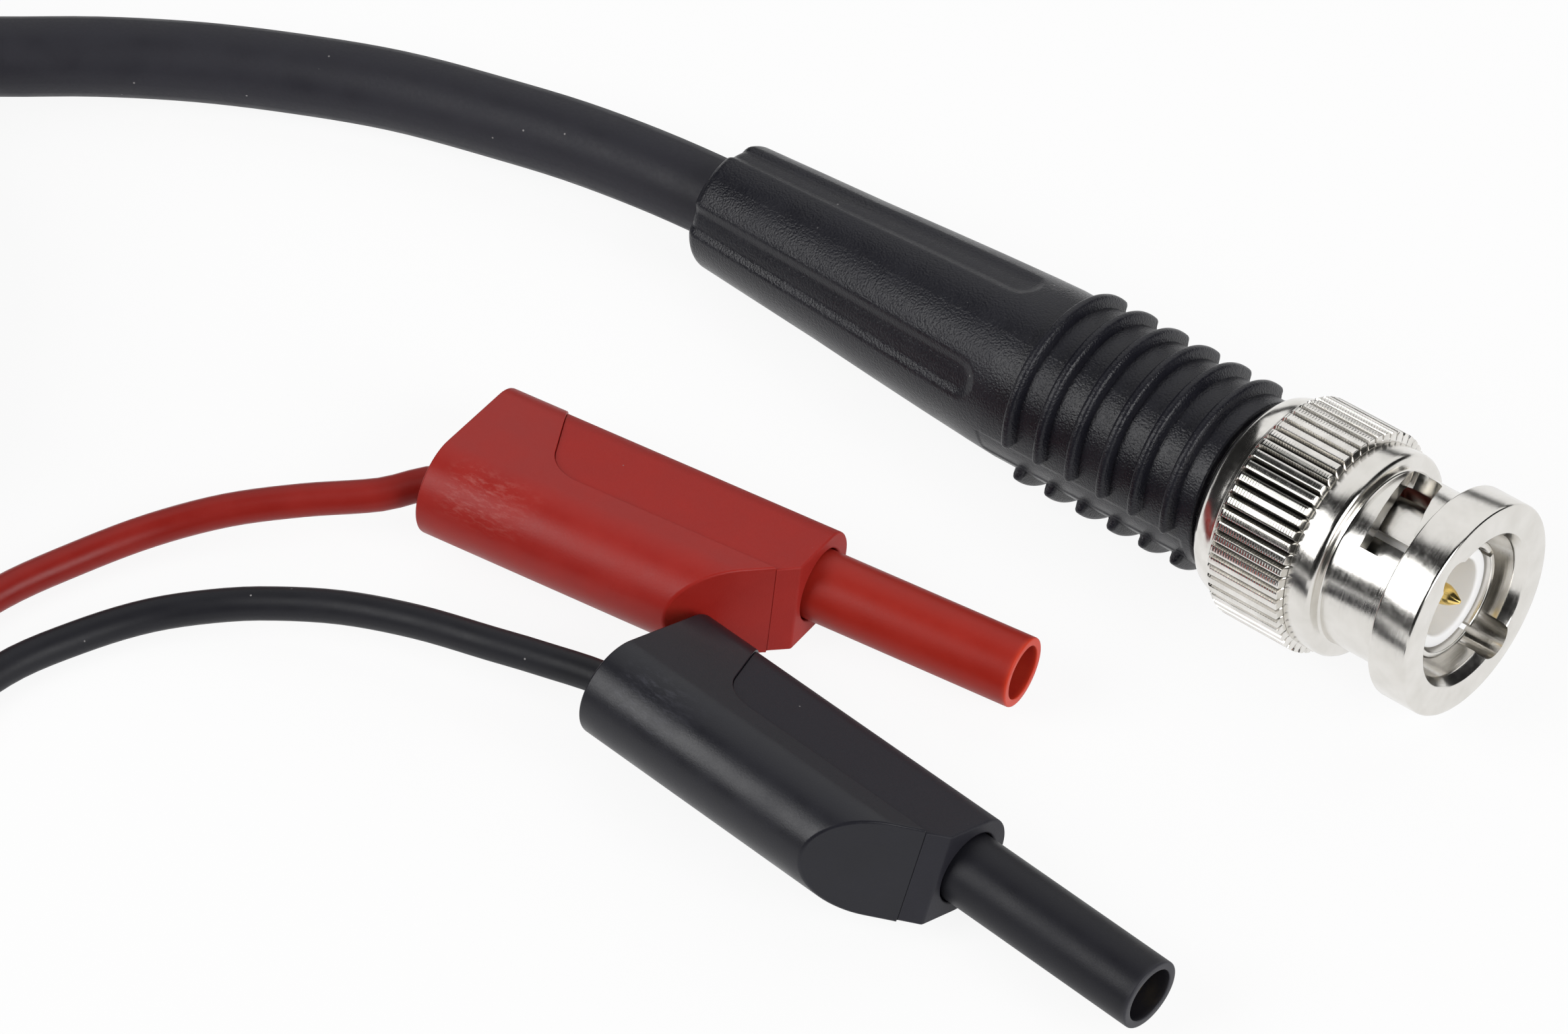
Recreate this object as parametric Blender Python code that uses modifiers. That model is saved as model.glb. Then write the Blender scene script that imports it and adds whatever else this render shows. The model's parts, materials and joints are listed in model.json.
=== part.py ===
"""Test lead: a bayonet coaxial plug whose cable splits into two leads with sprung-sleeve safety plugs."""

import math

import bmesh
import bpy
from mathutils import Matrix, Vector

MM = 0.001

# Clearances
FIT = 0.25 * MM
SNUG = 0.2 * MM
SEAM = 0.2 * MM
CORD_GAP = 0.3 * MM
WELD = 0.001 * MM

# Bayonet coupling nut, measured back from its front face
FLANGE_R = 7.25 * MM
FLANGE_LENGTH = 2.8 * MM
SLEEVE_R = 5.93 * MM
STEP_R = 7.0 * MM
STEP_FRONT = 7.6 * MM
KNURL_R = 7.6 * MM
KNURL_DEPTH = 0.45 * MM
KNURL_TEETH = 56
KNURL_SINK = 0.05 * MM
TOOTH_FLAT = 0.24
KNURL_FRONT = 9.6 * MM
KNURL_LENGTH = 5.6 * MM
NUT_LENGTH = 17.6 * MM
NUT_REAR_R = 5.8 * MM
NUT_LIP_PLAY = 0.4 * MM
REAR_ROUND = ((0.3, 0.12), (0.66, 0.28))
NUT_BORE_R = 4.85 * MM
CHAMBER_STEP = 0.9 * MM
CHAMBER_R = NUT_BORE_R + CHAMBER_STEP
CHAMBER_FRONT = 9.2 * MM
CHAMBER_REAR = 14.4 * MM
EDGE = 0.3 * MM

# Bayonet ramps cut through the nut
RAMP_HALF_WIDTH = 1.25 * MM
RAMP_ENTRY_DEG = 206
RAMP_SWEEP_DEG = -75
RAMP_FRONT = 4.4 * MM
RAMP_REAR = 6.9 * MM
RAMP_STEPS = 8

# Metal body inside the nut
CONTACT_R = 4.05 * MM
CONTACT_BORE_R = 3.6 * MM
CONTACT_FRONT = 1.5 * MM
CONTACT_SLOT = 0.5 * MM
CONTACT_SLOT_END = 7.2 * MM
CONTACT_SLOT_DEG = (20, 110)
HUB_R = 4.35 * MM
HUB_FRONT = 9.0 * MM
COLLAR_R = CHAMBER_R - FIT
COLLAR_FRONT = 10.2 * MM
COLLAR_REAR = 11.4 * MM
BARREL_R = 4.55 * MM
BARREL_REACH = 1.8 * MM
BARREL_REAR = NUT_LENGTH + BARREL_REACH
BORE_STEP = 12.6 * MM
STEM_WALL = 1.27 * MM
STEM_LENGTH = 7.1 * MM
STEM_REAR = BARREL_REAR + STEM_LENGTH
CLIP_GROOVE_DEPTH = 0.4 * MM
CLIP_WIDTH = 0.55 * MM
CLIP_RISE = 0.55 * MM
CLIP_OUTER_R = BARREL_R + CLIP_RISE
CLIP_SPLIT = 1.4 * MM
GASKET_LENGTH = 0.5 * MM
WAVE_SHEET = 0.3 * MM
WAVE_HEIGHT = 1.3 * MM
WAVE_COUNT = 3
THRUST_LENGTH = 0.6 * MM

# Insulator and centre contact
INSULATOR_FRONT = 1.9 * MM
INSULATOR_BORE_R = 2.7 * MM
INSULATOR_FLOOR = 8.2 * MM
PIN_R = 0.685 * MM
PIN_FRONT = 1.4 * MM
CUP_R = 1.1 * MM
CUP_REAR = 17.0 * MM
CUP_DEPTH = 2.6 * MM

# Coax and its stripped end
COAX_R = 2.7 * MM
DIELECTRIC_R = 1.48 * MM
CORE_R = 0.45 * MM
BRAID_WALL = 0.3 * MM
BRAID_SET_BACK = 1.1 * MM
BRAID_FRONT = BARREL_REAR + BRAID_SET_BACK
JACKET_SET_BACK = 4.5 * MM
JACKET_END = STEM_REAR + JACKET_SET_BACK
FERRULE_WALL = 0.4 * MM
FERRULE_OVERLAP = 0.4 * MM
FERRULE_LENGTH = JACKET_END - BRAID_FRONT + FERRULE_OVERLAP

# Moulded boot
BOOT_FRONT_R = 5.85 * MM
BOOT_WAIST_R = 5.95 * MM
WAIST_SET_BACK = 5.5 * MM
BOOT_WAIST = JACKET_END + WAIST_SET_BACK
BOOT_REAR_WALL = 1.75 * MM
BOOT_REAR_R = COAX_R + BOOT_REAR_WALL
BOOT_REAR = 60.9 * MM
BOOT_ROUND = 0.8 * MM
RIB_COUNT = 6
RIB_PITCH = 2.52 * MM
RIB_SET_BACK = 1.85 * MM
RIB_FIRST = NUT_LENGTH + RIB_SET_BACK
RIB_WIDTH = 1.0 * MM
RIB_EDGE = 0.3 * MM
RIB_R = 6.4 * MM
RIB_ROOT_R = 5.2 * MM
RIB_BAND = 4.2 * MM
BAND_DEG = 285
FLUTE_COUNT = 4
FLUTE_DEG = 255
FLUTE_R = 2.6 * MM
FLUTE_DEPTH = 0.45 * MM
FLUTE_SET_BACK = 0.5 * MM
FLUTE_END = BOOT_WAIST + FLUTE_SET_BACK
FLUTE_ROUND = 1.56 * MM
FLUTE_ROUND_DEG = (25, 50, 75)
FLUTE_LIFT = 0.17

# Safety plug, measured back from the body's front face on the pin axis
PLUG_LENGTH = 24.4 * MM
PLUG_R = 3.4 * MM
PLUG_OFFSET = 5.5 * MM
CHAMFER_START = 3.07 * MM
CHAMFER_BACK = 6.2 * MM
NOSE_WIDTH = 4.15 * MM
SHELL_BACK = 4.0 * MM
NOSE_LENGTH = PLUG_LENGTH - SHELL_BACK
NOSE_CORNER = 2.4 * MM
SHROUD_R = 2.34 * MM
SHROUD_WALL = 0.55 * MM
SHROUD_BORE_R = SHROUD_R - SHROUD_WALL
SHROUD_OUT = 14.5 * MM
SHROUD_IN = 4.5 * MM
SHROUD_COLLAR = 0.9 * MM
SHROUD_EDGE = 0.15 * MM
SHROUD_TRAVEL = 9.0 * MM
SPRING_SOLID = 3.7 * MM
MOUTH_LENGTH = 3.3 * MM
SPRING_ROOM_WIDTH = 0.575 * MM
SPRING_ROOM_R = SHROUD_R + SPRING_ROOM_WIDTH
SPRING_ROOM_END = SHROUD_IN + SHROUD_TRAVEL + SPRING_SOLID
SPRING_WIRE_R = 0.21 * MM
SPRING_TURNS = 7
POINTS_PER_CURL = 8
TIP_R = 1.0 * MM
TIP_SET_BACK = 0.8 * MM
WAIST_STEP = 0.28 * MM
WAIST_R = TIP_R - WAIST_STEP
CAGE_LENGTH = 7.5 * MM
CAGE_WALL = 0.15 * MM
CAGE_BULGE = 0.18 * MM
CAGE_SLOT = 0.35 * MM
CAGE_SLOT_LENGTH = 5.25 * MM
CAGE_SLOT_DEG = (9, 99)
WEB_LENGTH = 1.8 * MM
LINK_THICKNESS = 0.9 * MM
LINK_MARGIN = 0.5 * MM
LINK_HALF_WIDTH = TIP_R + LINK_MARGIN
SOCKET_WALL = 0.6 * MM
SOCKET_R = TIP_R + SOCKET_WALL
SOCKET_SET_BACK = 0.5 * MM
SOCKET_CLEARANCE = 0.1 * MM
STACK_CLEARANCE = 0.275 * MM
SOCKET_ROOM_R = SHROUD_R + STACK_CLEARANCE
LEAD_R = 1.08 * MM
WIRE_R = 0.55 * MM
CRIMP_WALL = 0.3 * MM
CRIMP_R = LEAD_R + CRIMP_WALL
CRIMP_LENGTH = 5.2 * MM
WIRE_ROOM_LENGTH = 6.7 * MM
WIRE_ROOM_END = SPRING_ROOM_END - WIRE_ROOM_LENGTH
LEAD_SET_BACK = 0.8 * MM
LEAD_FRONT = SPRING_ROOM_END + WEB_LENGTH + LEAD_SET_BACK

# Splitter block and the joints inside it
SPLITTER_SIZE = (24.0 * MM, 13.0 * MM, 9.6 * MM)
SPLITTER_ROUND = 1.6 * MM
SPLITTER_BORE_DEPTH = 7.0 * MM
SPLITTER_ENTRY = 6.0 * MM
SPLICE_R = 1.2 * MM
SPLICE_SPACING = 5.2 * MM

# Coil of the spare cable
COIL_R = 33.5 * MM
COIL_TURN_GAP = 0.5 * MM
COIL_STEP = 2 * COAX_R + COIL_TURN_GAP
COIL_ENTRY_DEG = 122
COIL_EXIT_DEG = 270
COIL_FULL_TURNS = 4
COIL_CLIMB_DEG = 180
POINTS_PER_LOOP = 24
TIE_WALL = 0.6 * MM
TIE_WIDTH = 9.0 * MM
TIE_DEG = 20

# Places on the table, with the origin in the middle of the three connectors
LAYOUT_CENTRE = Vector((12.61, -1.12, 0.0)) * MM
BAYONET_FRONT = Vector((42.44, 15.71)) * MM
PLUGS = {
    "red": {"mouth": Vector((21.8, -2.65)) * MM, "heading": 10.3, "roll": 11.3},
    "black": {"mouth": Vector((43.75, -17.45)) * MM, "heading": -2.0, "roll": 22.7},
}
COIL_CENTRE = Vector((-75.5, -48.0)) * MM
SPLITTER_START = 13.5 * MM
COAX_STRAIGHT = 1.0 * MM
LEAD_STRAIGHT = 3.0 * MM

# Routes of the free cords in millimetres, from the connector to the coil or the splitter
COAX_ROUTE = [
    (-28.7, 14.2, 4.0),
    (-35.9, 12.4, 3.6),
    (-43.0, 10.2, 3.2),
    (-49.3, 7.2, 3.0),
    (-55.1, 3.7, 3.0),
    (-60.5, -0.4, 3.1),
    (-65.4, -4.9, 3.3),
    (-72.5, -10.9, 3.5),
]
LEAD_ROUTES = {
    "red": [
        (-18.4, -17.7, 3.6),
        (-22.2, -20.9, 3.0),
        (-25.7, -24.2, 2.3),
        (-28.6, -28.1, 1.6),
        (-30.8, -32.8, 1.2),
        (-32.4, -37.9, 1.1),
        (-32.9, -44.0, 1.1),
        (-31.0, -50.5, 1.1),
        (-27.3, -56.5, 1.1),
        (-24.0, -63.5, 1.3),
        (-23.8, -71.0, 2.2),
        (-27.0, -77.0, 3.8),
    ],
    "black": [
        (-0.5, -22.3, 5.1),
        (-3.8, -23.2, 4.8),
        (-9.1, -24.4, 4.0),
        (-14.0, -26.0, 3.1),
        (-17.8, -28.0, 2.4),
        (-20.4, -29.8, 1.9),
        (-23.7, -33.2, 1.4),
        (-26.1, -37.4, 1.1),
        (-27.7, -42.4, 1.1),
        (-27.6, -48.0, 1.1),
        (-24.8, -54.0, 1.1),
        (-20.6, -60.0, 1.1),
        (-17.4, -68.0, 1.3),
        (-17.6, -76.0, 2.2),
        (-21.5, -82.0, 3.4),
        (-26.5, -84.0, 4.5),
    ],
}

# Turning steps
FINE = 40
ROUND = 32
SMALL = 16
CORD_POINT_STEP = 2.4


def clear_scene():
    for obj in list(bpy.data.objects):
        bpy.data.objects.remove(obj, do_unlink=True)


def new_collection(name):
    collection = bpy.data.collections.new(name)
    bpy.context.scene.collection.children.link(collection)
    return collection


def new_material(name, colour, roughness, metallic=0.0):
    material = bpy.data.materials.new(name)
    material.use_nodes = True
    shader = material.node_tree.nodes["Principled BSDF"]
    shader.inputs["Base Color"].default_value = (*colour, 1.0)
    shader.inputs["Roughness"].default_value = roughness
    shader.inputs["Metallic"].default_value = metallic
    return material


clear_scene()
PARTS = new_collection("test_lead")
CUTTERS = new_collection("test_lead_cutters")
NICKEL = new_material("nickel", (0.72, 0.70, 0.68), 0.22, 1.0)
STEEL = new_material("spring_steel", (0.45, 0.45, 0.46), 0.35, 1.0)
GOLD = new_material("gold", (0.83, 0.60, 0.22), 0.25, 1.0)
BRASS = new_material("brass", (0.70, 0.53, 0.25), 0.35, 1.0)
COPPER = new_material("copper", (0.72, 0.38, 0.24), 0.4, 1.0)
PTFE = new_material("ptfe", (0.88, 0.88, 0.88), 0.45)
SILICONE = new_material("silicone", (0.55, 0.12, 0.08), 0.6)
BOOT_BLACK = new_material("boot_black", (0.022, 0.022, 0.026), 0.55)
CABLE_BLACK = new_material("cable_black", (0.03, 0.03, 0.033), 0.6)
TIE_BLACK = new_material("tie_black", (0.02, 0.02, 0.02), 0.9)
PLASTIC = {
    "red": new_material("plug_red", (0.36, 0.035, 0.03), 0.4),
    "black": new_material("plug_black", (0.016, 0.016, 0.018), 0.4),
}
LEAD = {
    "red": new_material("lead_red", (0.42, 0.04, 0.035), 0.45),
    "black": new_material("lead_black", (0.02, 0.02, 0.022), 0.5),
}


def new_empty(name, matrix):
    empty = bpy.data.objects.new(name, None)
    PARTS.objects.link(empty)
    empty.matrix_world = matrix
    return empty


def as_part(obj, name, material, parent=None, smooth_deg=35):
    """Names a finished piece, gives it its material and hangs it on its empty."""
    obj.name = name
    PARTS.objects.link(obj)
    obj.parent = parent
    obj.data.materials.append(material)
    if obj.type == "MESH":
        obj.data.shade_smooth()
        obj.data.set_sharp_from_angle(angle=math.radians(smooth_deg))
    return obj


def as_tool(obj, parent):
    obj.hide_render = True
    obj.display_type = "WIRE"
    CUTTERS.objects.link(obj)
    obj.parent = parent
    return obj


def boolean(obj, tool, operation, parent=None):
    if tool.name not in CUTTERS.objects:
        as_tool(tool, parent)
    modifier = obj.modifiers.new(tool.name, "BOOLEAN")
    modifier.operation = operation
    modifier.solver = "EXACT"
    modifier.object = tool
    return obj


def turned(name, loops, steps):
    """Profiles of (radius, height) turned about Z. A profile that starts on the axis is solid."""
    vertices = []
    edges = []
    for loop in loops:
        first = len(vertices)
        vertices += [(radius, 0.0, height) for radius, height in loop]
        count = len(loop)
        edges += [(first + i, first + i + 1) for i in range(count - 1)]
        if loop[0][0] > 0:
            edges.append((first + count - 1, first))
    mesh = bpy.data.meshes.new(name)
    mesh.from_pydata(vertices, edges, [])
    obj = bpy.data.objects.new(name, mesh)
    screw = obj.modifiers.new("turn", "SCREW")
    screw.steps = steps
    screw.render_steps = steps
    screw.use_merge_vertices = True
    screw.merge_threshold = WELD
    return obj


def ring(outer, inner, front, rear):
    """A plain ring profile between two depths behind the front face."""
    return [(outer, -front), (outer, -rear), (inner, -rear), (inner, -front)]


def rounded_tip(radius, front):
    """Profile of a pin's round tip, from the axis out to its full radius."""
    turns = [math.radians(degrees) for degrees in (0, 30, 60, 90)]
    return [(radius * math.sin(turn), front - radius * (1 - math.cos(turn))) for turn in turns]


def cylinder(name, radius, front, rear, x=0.0, steps=SMALL):
    """A closed cylinder along Z between two depths behind the front face."""
    mesh = bpy.data.meshes.new(name)
    shape = bmesh.new()
    place = Matrix.Translation((x, 0.0, -(front + rear) / 2))
    bmesh.ops.create_cone(
        shape,
        cap_ends=True,
        segments=steps,
        radius1=radius,
        radius2=radius,
        depth=rear - front,
        matrix=place,
    )
    shape.to_mesh(mesh)
    shape.free()
    return bpy.data.objects.new(name, mesh)


def block(name, size, place):
    mesh = bpy.data.meshes.new(name)
    shape = bmesh.new()
    bmesh.ops.create_cube(shape, size=1.0, matrix=place @ Matrix.Diagonal((*size, 1.0)))
    shape.to_mesh(mesh)
    shape.free()
    return bpy.data.objects.new(name, mesh)


def solid_mesh(curve_object):
    """The mesh of a curve object with its caps welded; the curve itself goes."""
    scene = bpy.context.scene.collection
    scene.objects.link(curve_object)
    bpy.context.view_layer.update()
    evaluated = curve_object.evaluated_get(bpy.context.evaluated_depsgraph_get())
    mesh = bpy.data.meshes.new_from_object(evaluated)
    name = curve_object.name
    bpy.data.objects.remove(curve_object, do_unlink=True)
    shape = bmesh.new()
    shape.from_mesh(mesh)
    bmesh.ops.remove_doubles(shape, verts=shape.verts, dist=WELD)
    bmesh.ops.recalc_face_normals(shape, faces=shape.faces)
    shape.to_mesh(mesh)
    shape.free()
    obj = bpy.data.objects.new(name, mesh)
    return obj


def outline(name, loops, front, rear):
    """Flat loops of (x, y) filled and extruded along Z between two depths behind the front face."""
    data = bpy.data.curves.new(name, "CURVE")
    data.dimensions = "2D"
    data.fill_mode = "BOTH"
    data.extrude = (rear - front) / 2
    for loop in loops:
        spline = data.splines.new("POLY")
        spline.points.add(len(loop) - 1)
        for point, (x, y) in zip(spline.points, loop):
            point.co = (x, y, 0.0, 1.0)
        spline.use_cyclic_u = True
    obj = solid_mesh(bpy.data.objects.new(name, data))
    obj.data.transform(Matrix.Translation((0.0, 0.0, -(front + rear) / 2)))
    return obj


def arc(centre_x, centre_y, radius, start_deg, end_deg, steps):
    turns = [math.radians(start_deg + (end_deg - start_deg) * i / steps) for i in range(steps + 1)]
    return [(centre_x + radius * math.cos(t), centre_y + radius * math.sin(t)) for t in turns]


def tube(name, splines, radius, bevel_resolution=2):
    """A curve object with filled caps; each spline is a list of (point, share of the radius)."""
    data = bpy.data.curves.new(name, "CURVE")
    data.dimensions = "3D"
    data.bevel_depth = radius
    data.bevel_resolution = bevel_resolution
    data.use_fill_caps = True
    for points in splines:
        spline = data.splines.new("POLY")
        spline.points.add(len(points) - 1)
        for target, (point, share) in zip(spline.points, points):
            target.co = (*point, 1.0)
            target.radius = share
    return bpy.data.objects.new(name, data)


def smooth_route(points, step):
    """Points at about the given step along a centripetal curve through the route's own points."""
    ends = [points[0] * 2 - points[1], *points, points[-1] * 2 - points[-2]]
    route = []
    for before, start, end, after in zip(ends, ends[1:], ends[2:], ends[3:]):
        count = max(1, round((end - start).length / step))
        knots = [0.0]
        for a, b in ((before, start), (start, end), (end, after)):
            knots.append(knots[-1] + math.sqrt((b - a).length))
        for i in range(count):
            t = knots[1] + (knots[2] - knots[1]) * i / count
            mixes = [before, start, end, after]
            for span in (1, 2, 3):
                wide = min(span, 2)
                shares = [mix_share(knots, j, span, wide, t) for j in range(len(mixes) - 1)]
                mixes = [a.lerp(b, share) for a, b, share in zip(mixes, mixes[1:], shares)]
            route.append(mixes[0])
    route.append(points[-1])
    return route


def mix_share(knots, index, span, wide, t):
    """Share of the next point in one level of the curve's pyramid."""
    first = index if span < 3 else 1
    last = first + wide if span < 3 else 2
    return (t - knots[first]) / (knots[last] - knots[first])


def circle(radius, steps):
    return arc(0.0, 0.0, radius, 0, 360, steps)[:-1]


def polar(radius, degrees, height):
    turn = math.radians(degrees)
    return Vector((radius * math.cos(turn), radius * math.sin(turn), height))


# Bayonet plug


def bayonet_matrix():
    """The connector lies on its knurl and the boot's rear end, so its nose points a little up."""
    knurl_rear = KNURL_FRONT + KNURL_LENGTH
    tilt = math.atan((KNURL_R - BOOT_REAR_R) / (BOOT_REAR - BOOT_ROUND - knurl_rear))
    forward = Vector((math.cos(tilt), 0.0, math.sin(tilt)))
    side = Vector((0.0, 1.0, 0.0))
    down = side.cross(forward)
    height = KNURL_R * math.cos(tilt) + knurl_rear * math.sin(tilt)
    origin = Vector((*BAYONET_FRONT, height)) - LAYOUT_CENTRE
    matrix = Matrix((down, side, forward)).transposed().to_4x4()
    matrix.translation = origin
    return matrix


def coupling_nut(axis):
    core_r = KNURL_R - KNURL_DEPTH - KNURL_SINK
    knurl_rear = KNURL_FRONT + KNURL_LENGTH
    lip_r = BARREL_R + NUT_LIP_PLAY
    collar = NUT_LENGTH - knurl_rear
    profile = [
        (FLANGE_R - EDGE, 0.0),
        (FLANGE_R, -EDGE),
        (FLANGE_R, -FLANGE_LENGTH + EDGE / 2),
        (FLANGE_R - EDGE / 2, -FLANGE_LENGTH),
        (SLEEVE_R, -FLANGE_LENGTH),
        (SLEEVE_R, -STEP_FRONT + EDGE),
        (SLEEVE_R + EDGE, -STEP_FRONT),
        (STEP_R - EDGE, -STEP_FRONT),
        (STEP_R, -STEP_FRONT - EDGE),
        (STEP_R, -KNURL_FRONT),
        (core_r, -KNURL_FRONT),
        (core_r, -knurl_rear),
        *((core_r - drop * collar, -knurl_rear - along * collar) for along, drop in REAR_ROUND),
        (NUT_REAR_R, -NUT_LENGTH),
        (lip_r, -NUT_LENGTH),
        (lip_r, -CHAMBER_REAR),
        (CHAMBER_R, -CHAMBER_REAR),
        (CHAMBER_R, -CHAMBER_FRONT),
        (NUT_BORE_R, -CHAMBER_FRONT),
        (NUT_BORE_R, -EDGE),
        (NUT_BORE_R + EDGE, 0.0),
    ]
    nut = turned("nut", [profile], FINE)
    root_r = KNURL_R - KNURL_DEPTH
    tooth = 360 / KNURL_TEETH
    teeth = []
    for i in range(KNURL_TEETH):
        teeth.append(polar(root_r, i * tooth, 0.0)[:2])
        teeth.append(polar(KNURL_R, (i + 0.5 - TOOTH_FLAT / 2) * tooth, 0.0)[:2])
        teeth.append(polar(KNURL_R, (i + 0.5 + TOOTH_FLAT / 2) * tooth, 0.0)[:2])
    inner = (CHAMBER_R + core_r) / 2
    knurl = outline("knurl_band", [teeth, circle(inner, ROUND)], KNURL_FRONT + SEAM, knurl_rear - SEAM)
    boolean(nut, knurl, "UNION", axis)
    boolean(nut, ramp_cutter(), "DIFFERENCE", axis)
    return as_part(nut, "coupling_nut", NICKEL, axis)


def ramp_cutter():
    """Two helical ramps: each enters along the bore under the flange and winds back through the sleeve."""
    inside = NUT_BORE_R
    through = (NUT_BORE_R + SLEEVE_R) / 2
    splines = []
    for half_turn in (0, 180):
        entry = RAMP_ENTRY_DEG + half_turn
        path = [
            polar(inside, entry, RAMP_HALF_WIDTH),
            polar(inside, entry, -FLANGE_LENGTH),
            polar(through, entry, -RAMP_FRONT),
        ]
        for i in range(1, RAMP_STEPS + 1):
            depth = RAMP_FRONT + (RAMP_REAR - RAMP_FRONT) * i / RAMP_STEPS
            path.append(polar(through, entry + RAMP_SWEEP_DEG * i / RAMP_STEPS, -depth))
        splines.append([(point, 1.0) for point in path])
    return solid_mesh(tube("ramp_cutter", splines, RAMP_HALF_WIDTH))


def bayonet_body(axis):
    clip_front = NUT_LENGTH + FIT
    clip_rear = clip_front + CLIP_WIDTH + SNUG
    groove_r = BARREL_R - CLIP_GROOVE_DEPTH
    bore_r = DIELECTRIC_R + FIT
    profile = [
        (CONTACT_R - FIT, -CONTACT_FRONT),
        (CONTACT_R, -CONTACT_FRONT - EDGE),
        (CONTACT_R, -HUB_FRONT),
        (HUB_R, -HUB_FRONT),
        (HUB_R, -COLLAR_FRONT),
        (COLLAR_R, -COLLAR_FRONT),
        (COLLAR_R, -COLLAR_REAR),
        (BARREL_R, -COLLAR_REAR),
        (BARREL_R, -clip_front),
        (groove_r, -clip_front),
        (groove_r, -clip_rear),
        (BARREL_R, -clip_rear),
        (BARREL_R, -BARREL_REAR),
        (stem_r(), -BARREL_REAR),
        (stem_r(), -STEM_REAR),
        (bore_r, -STEM_REAR),
        (bore_r, -BORE_STEP),
        (CONTACT_BORE_R, -BORE_STEP),
        (CONTACT_BORE_R, -CONTACT_FRONT),
    ]
    body = turned("body", [profile], ROUND)
    for turn in CONTACT_SLOT_DEG:
        place = Matrix.Rotation(math.radians(turn), 4, "Z")
        slot = block(f"finger_slot_{turn}", (3 * CONTACT_R, CONTACT_SLOT, 2 * CONTACT_SLOT_END), place)
        boolean(body, slot, "DIFFERENCE", axis)
    return as_part(body, "bayonet_body", NICKEL, axis)


def bayonet_inside(axis):
    """The rings in the nut, the insulator and the centre contact."""
    gasket_rear = COLLAR_FRONT - FIT
    gasket = ring(COLLAR_R, HUB_R + FIT, gasket_rear - GASKET_LENGTH, gasket_rear)
    as_part(turned("gasket", [gasket], ROUND), "sealing_gasket", SILICONE, axis)

    thrust_rear = CHAMBER_REAR - FIT
    thrust = ring(CHAMBER_R - FIT, BARREL_R + FIT, thrust_rear - THRUST_LENGTH, thrust_rear)
    as_part(turned("thrust", [thrust], ROUND), "thrust_washer", NICKEL, axis)

    wave_middle = (COLLAR_REAR + thrust_rear - THRUST_LENGTH) / 2
    swing = (WAVE_HEIGHT - WAVE_SHEET) / 2
    wave = wave_ring(CHAMBER_R - FIT, BARREL_R + FIT, wave_middle, swing)
    as_part(wave, "wave_spring", STEEL, axis)

    clip_front = NUT_LENGTH + FIT + SNUG / 2
    clip = ring(CLIP_OUTER_R, BARREL_R - CLIP_GROOVE_DEPTH + SNUG, clip_front, clip_front + CLIP_WIDTH)
    clip = turned("clip", [clip], ROUND)
    split_place = Matrix.Translation((0.0, CLIP_OUTER_R, -clip_front))
    split = block("clip_split", (CLIP_SPLIT, CLIP_OUTER_R, 4 * CLIP_WIDTH), split_place)
    boolean(clip, split, "DIFFERENCE", axis)
    as_part(clip, "retaining_clip", STEEL, axis)

    outer = CONTACT_BORE_R - FIT
    hole = PIN_R + FIT
    insulator_rear = BORE_STEP - FIT
    profile = [
        (outer, -INSULATOR_FRONT),
        (outer, -insulator_rear),
        (hole, -insulator_rear),
        (hole, -INSULATOR_FLOOR),
        (INSULATOR_BORE_R, -INSULATOR_FLOOR),
        (INSULATOR_BORE_R, -INSULATOR_FRONT),
    ]
    as_part(turned("insulator", [profile], ROUND), "insulator", PTFE, axis)

    cup_front = BORE_STEP
    pin = [
        *rounded_tip(PIN_R, -PIN_FRONT),
        (PIN_R, -cup_front),
        (CUP_R, -cup_front),
        (CUP_R, -CUP_REAR),
        (CORE_R + SNUG, -CUP_REAR),
        (CORE_R + SNUG, -CUP_REAR + CUP_DEPTH),
        (0.0, -CUP_REAR + CUP_DEPTH),
    ]
    as_part(turned("pin", [pin], SMALL), "centre_contact", GOLD, axis)


def wave_ring(outer, inner, middle, swing):
    """A flat ring bent into even waves round its axis."""
    flat = turned("wave", [ring(outer, inner, middle - WAVE_SHEET / 2, middle + WAVE_SHEET / 2)], ROUND)
    flat = solid_mesh(flat)
    for vertex in flat.data.vertices:
        turn = math.atan2(vertex.co.y, vertex.co.x)
        vertex.co.z += swing * math.cos(WAVE_COUNT * turn)
    return flat


def cable_end(axis):
    """The stripped end of the coax inside the boot: core, dielectric, braid and crimp ferrule."""
    core_front = CUP_REAR - CUP_DEPTH + FIT
    dielectric_front = CUP_REAR + FIT
    core = [(0.0, -core_front), (CORE_R, -core_front), (CORE_R, -JACKET_END), (0.0, -JACKET_END)]
    as_part(turned("core", [core], SMALL), "coax_core_end", COPPER, axis)
    dielectric = ring(DIELECTRIC_R, CORE_R + SNUG, dielectric_front, JACKET_END)
    as_part(turned("dielectric", [dielectric], SMALL), "coax_dielectric_end", PTFE, axis)
    inner = stem_r() + FIT
    outer = inner + BRAID_WALL
    neck = DIELECTRIC_R + FIT
    braid = [
        (outer, -BRAID_FRONT),
        (outer, -STEM_REAR),
        (neck + BRAID_WALL, -JACKET_END),
        (neck, -JACKET_END),
        (inner, -STEM_REAR - BRAID_WALL),
        (inner, -BRAID_FRONT),
    ]
    as_part(turned("braid", [braid], SMALL), "coax_braid_end", COPPER, axis)
    ferrule = ring(ferrule_r(), outer + FIT, BRAID_FRONT, BRAID_FRONT + FERRULE_LENGTH)
    as_part(turned("ferrule", [ferrule], ROUND), "crimp_ferrule", NICKEL, axis)


def stem_r():
    return DIELECTRIC_R + FIT + STEM_WALL


def ferrule_r():
    return stem_r() + FIT + BRAID_WALL + FIT + FERRULE_WALL


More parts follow.
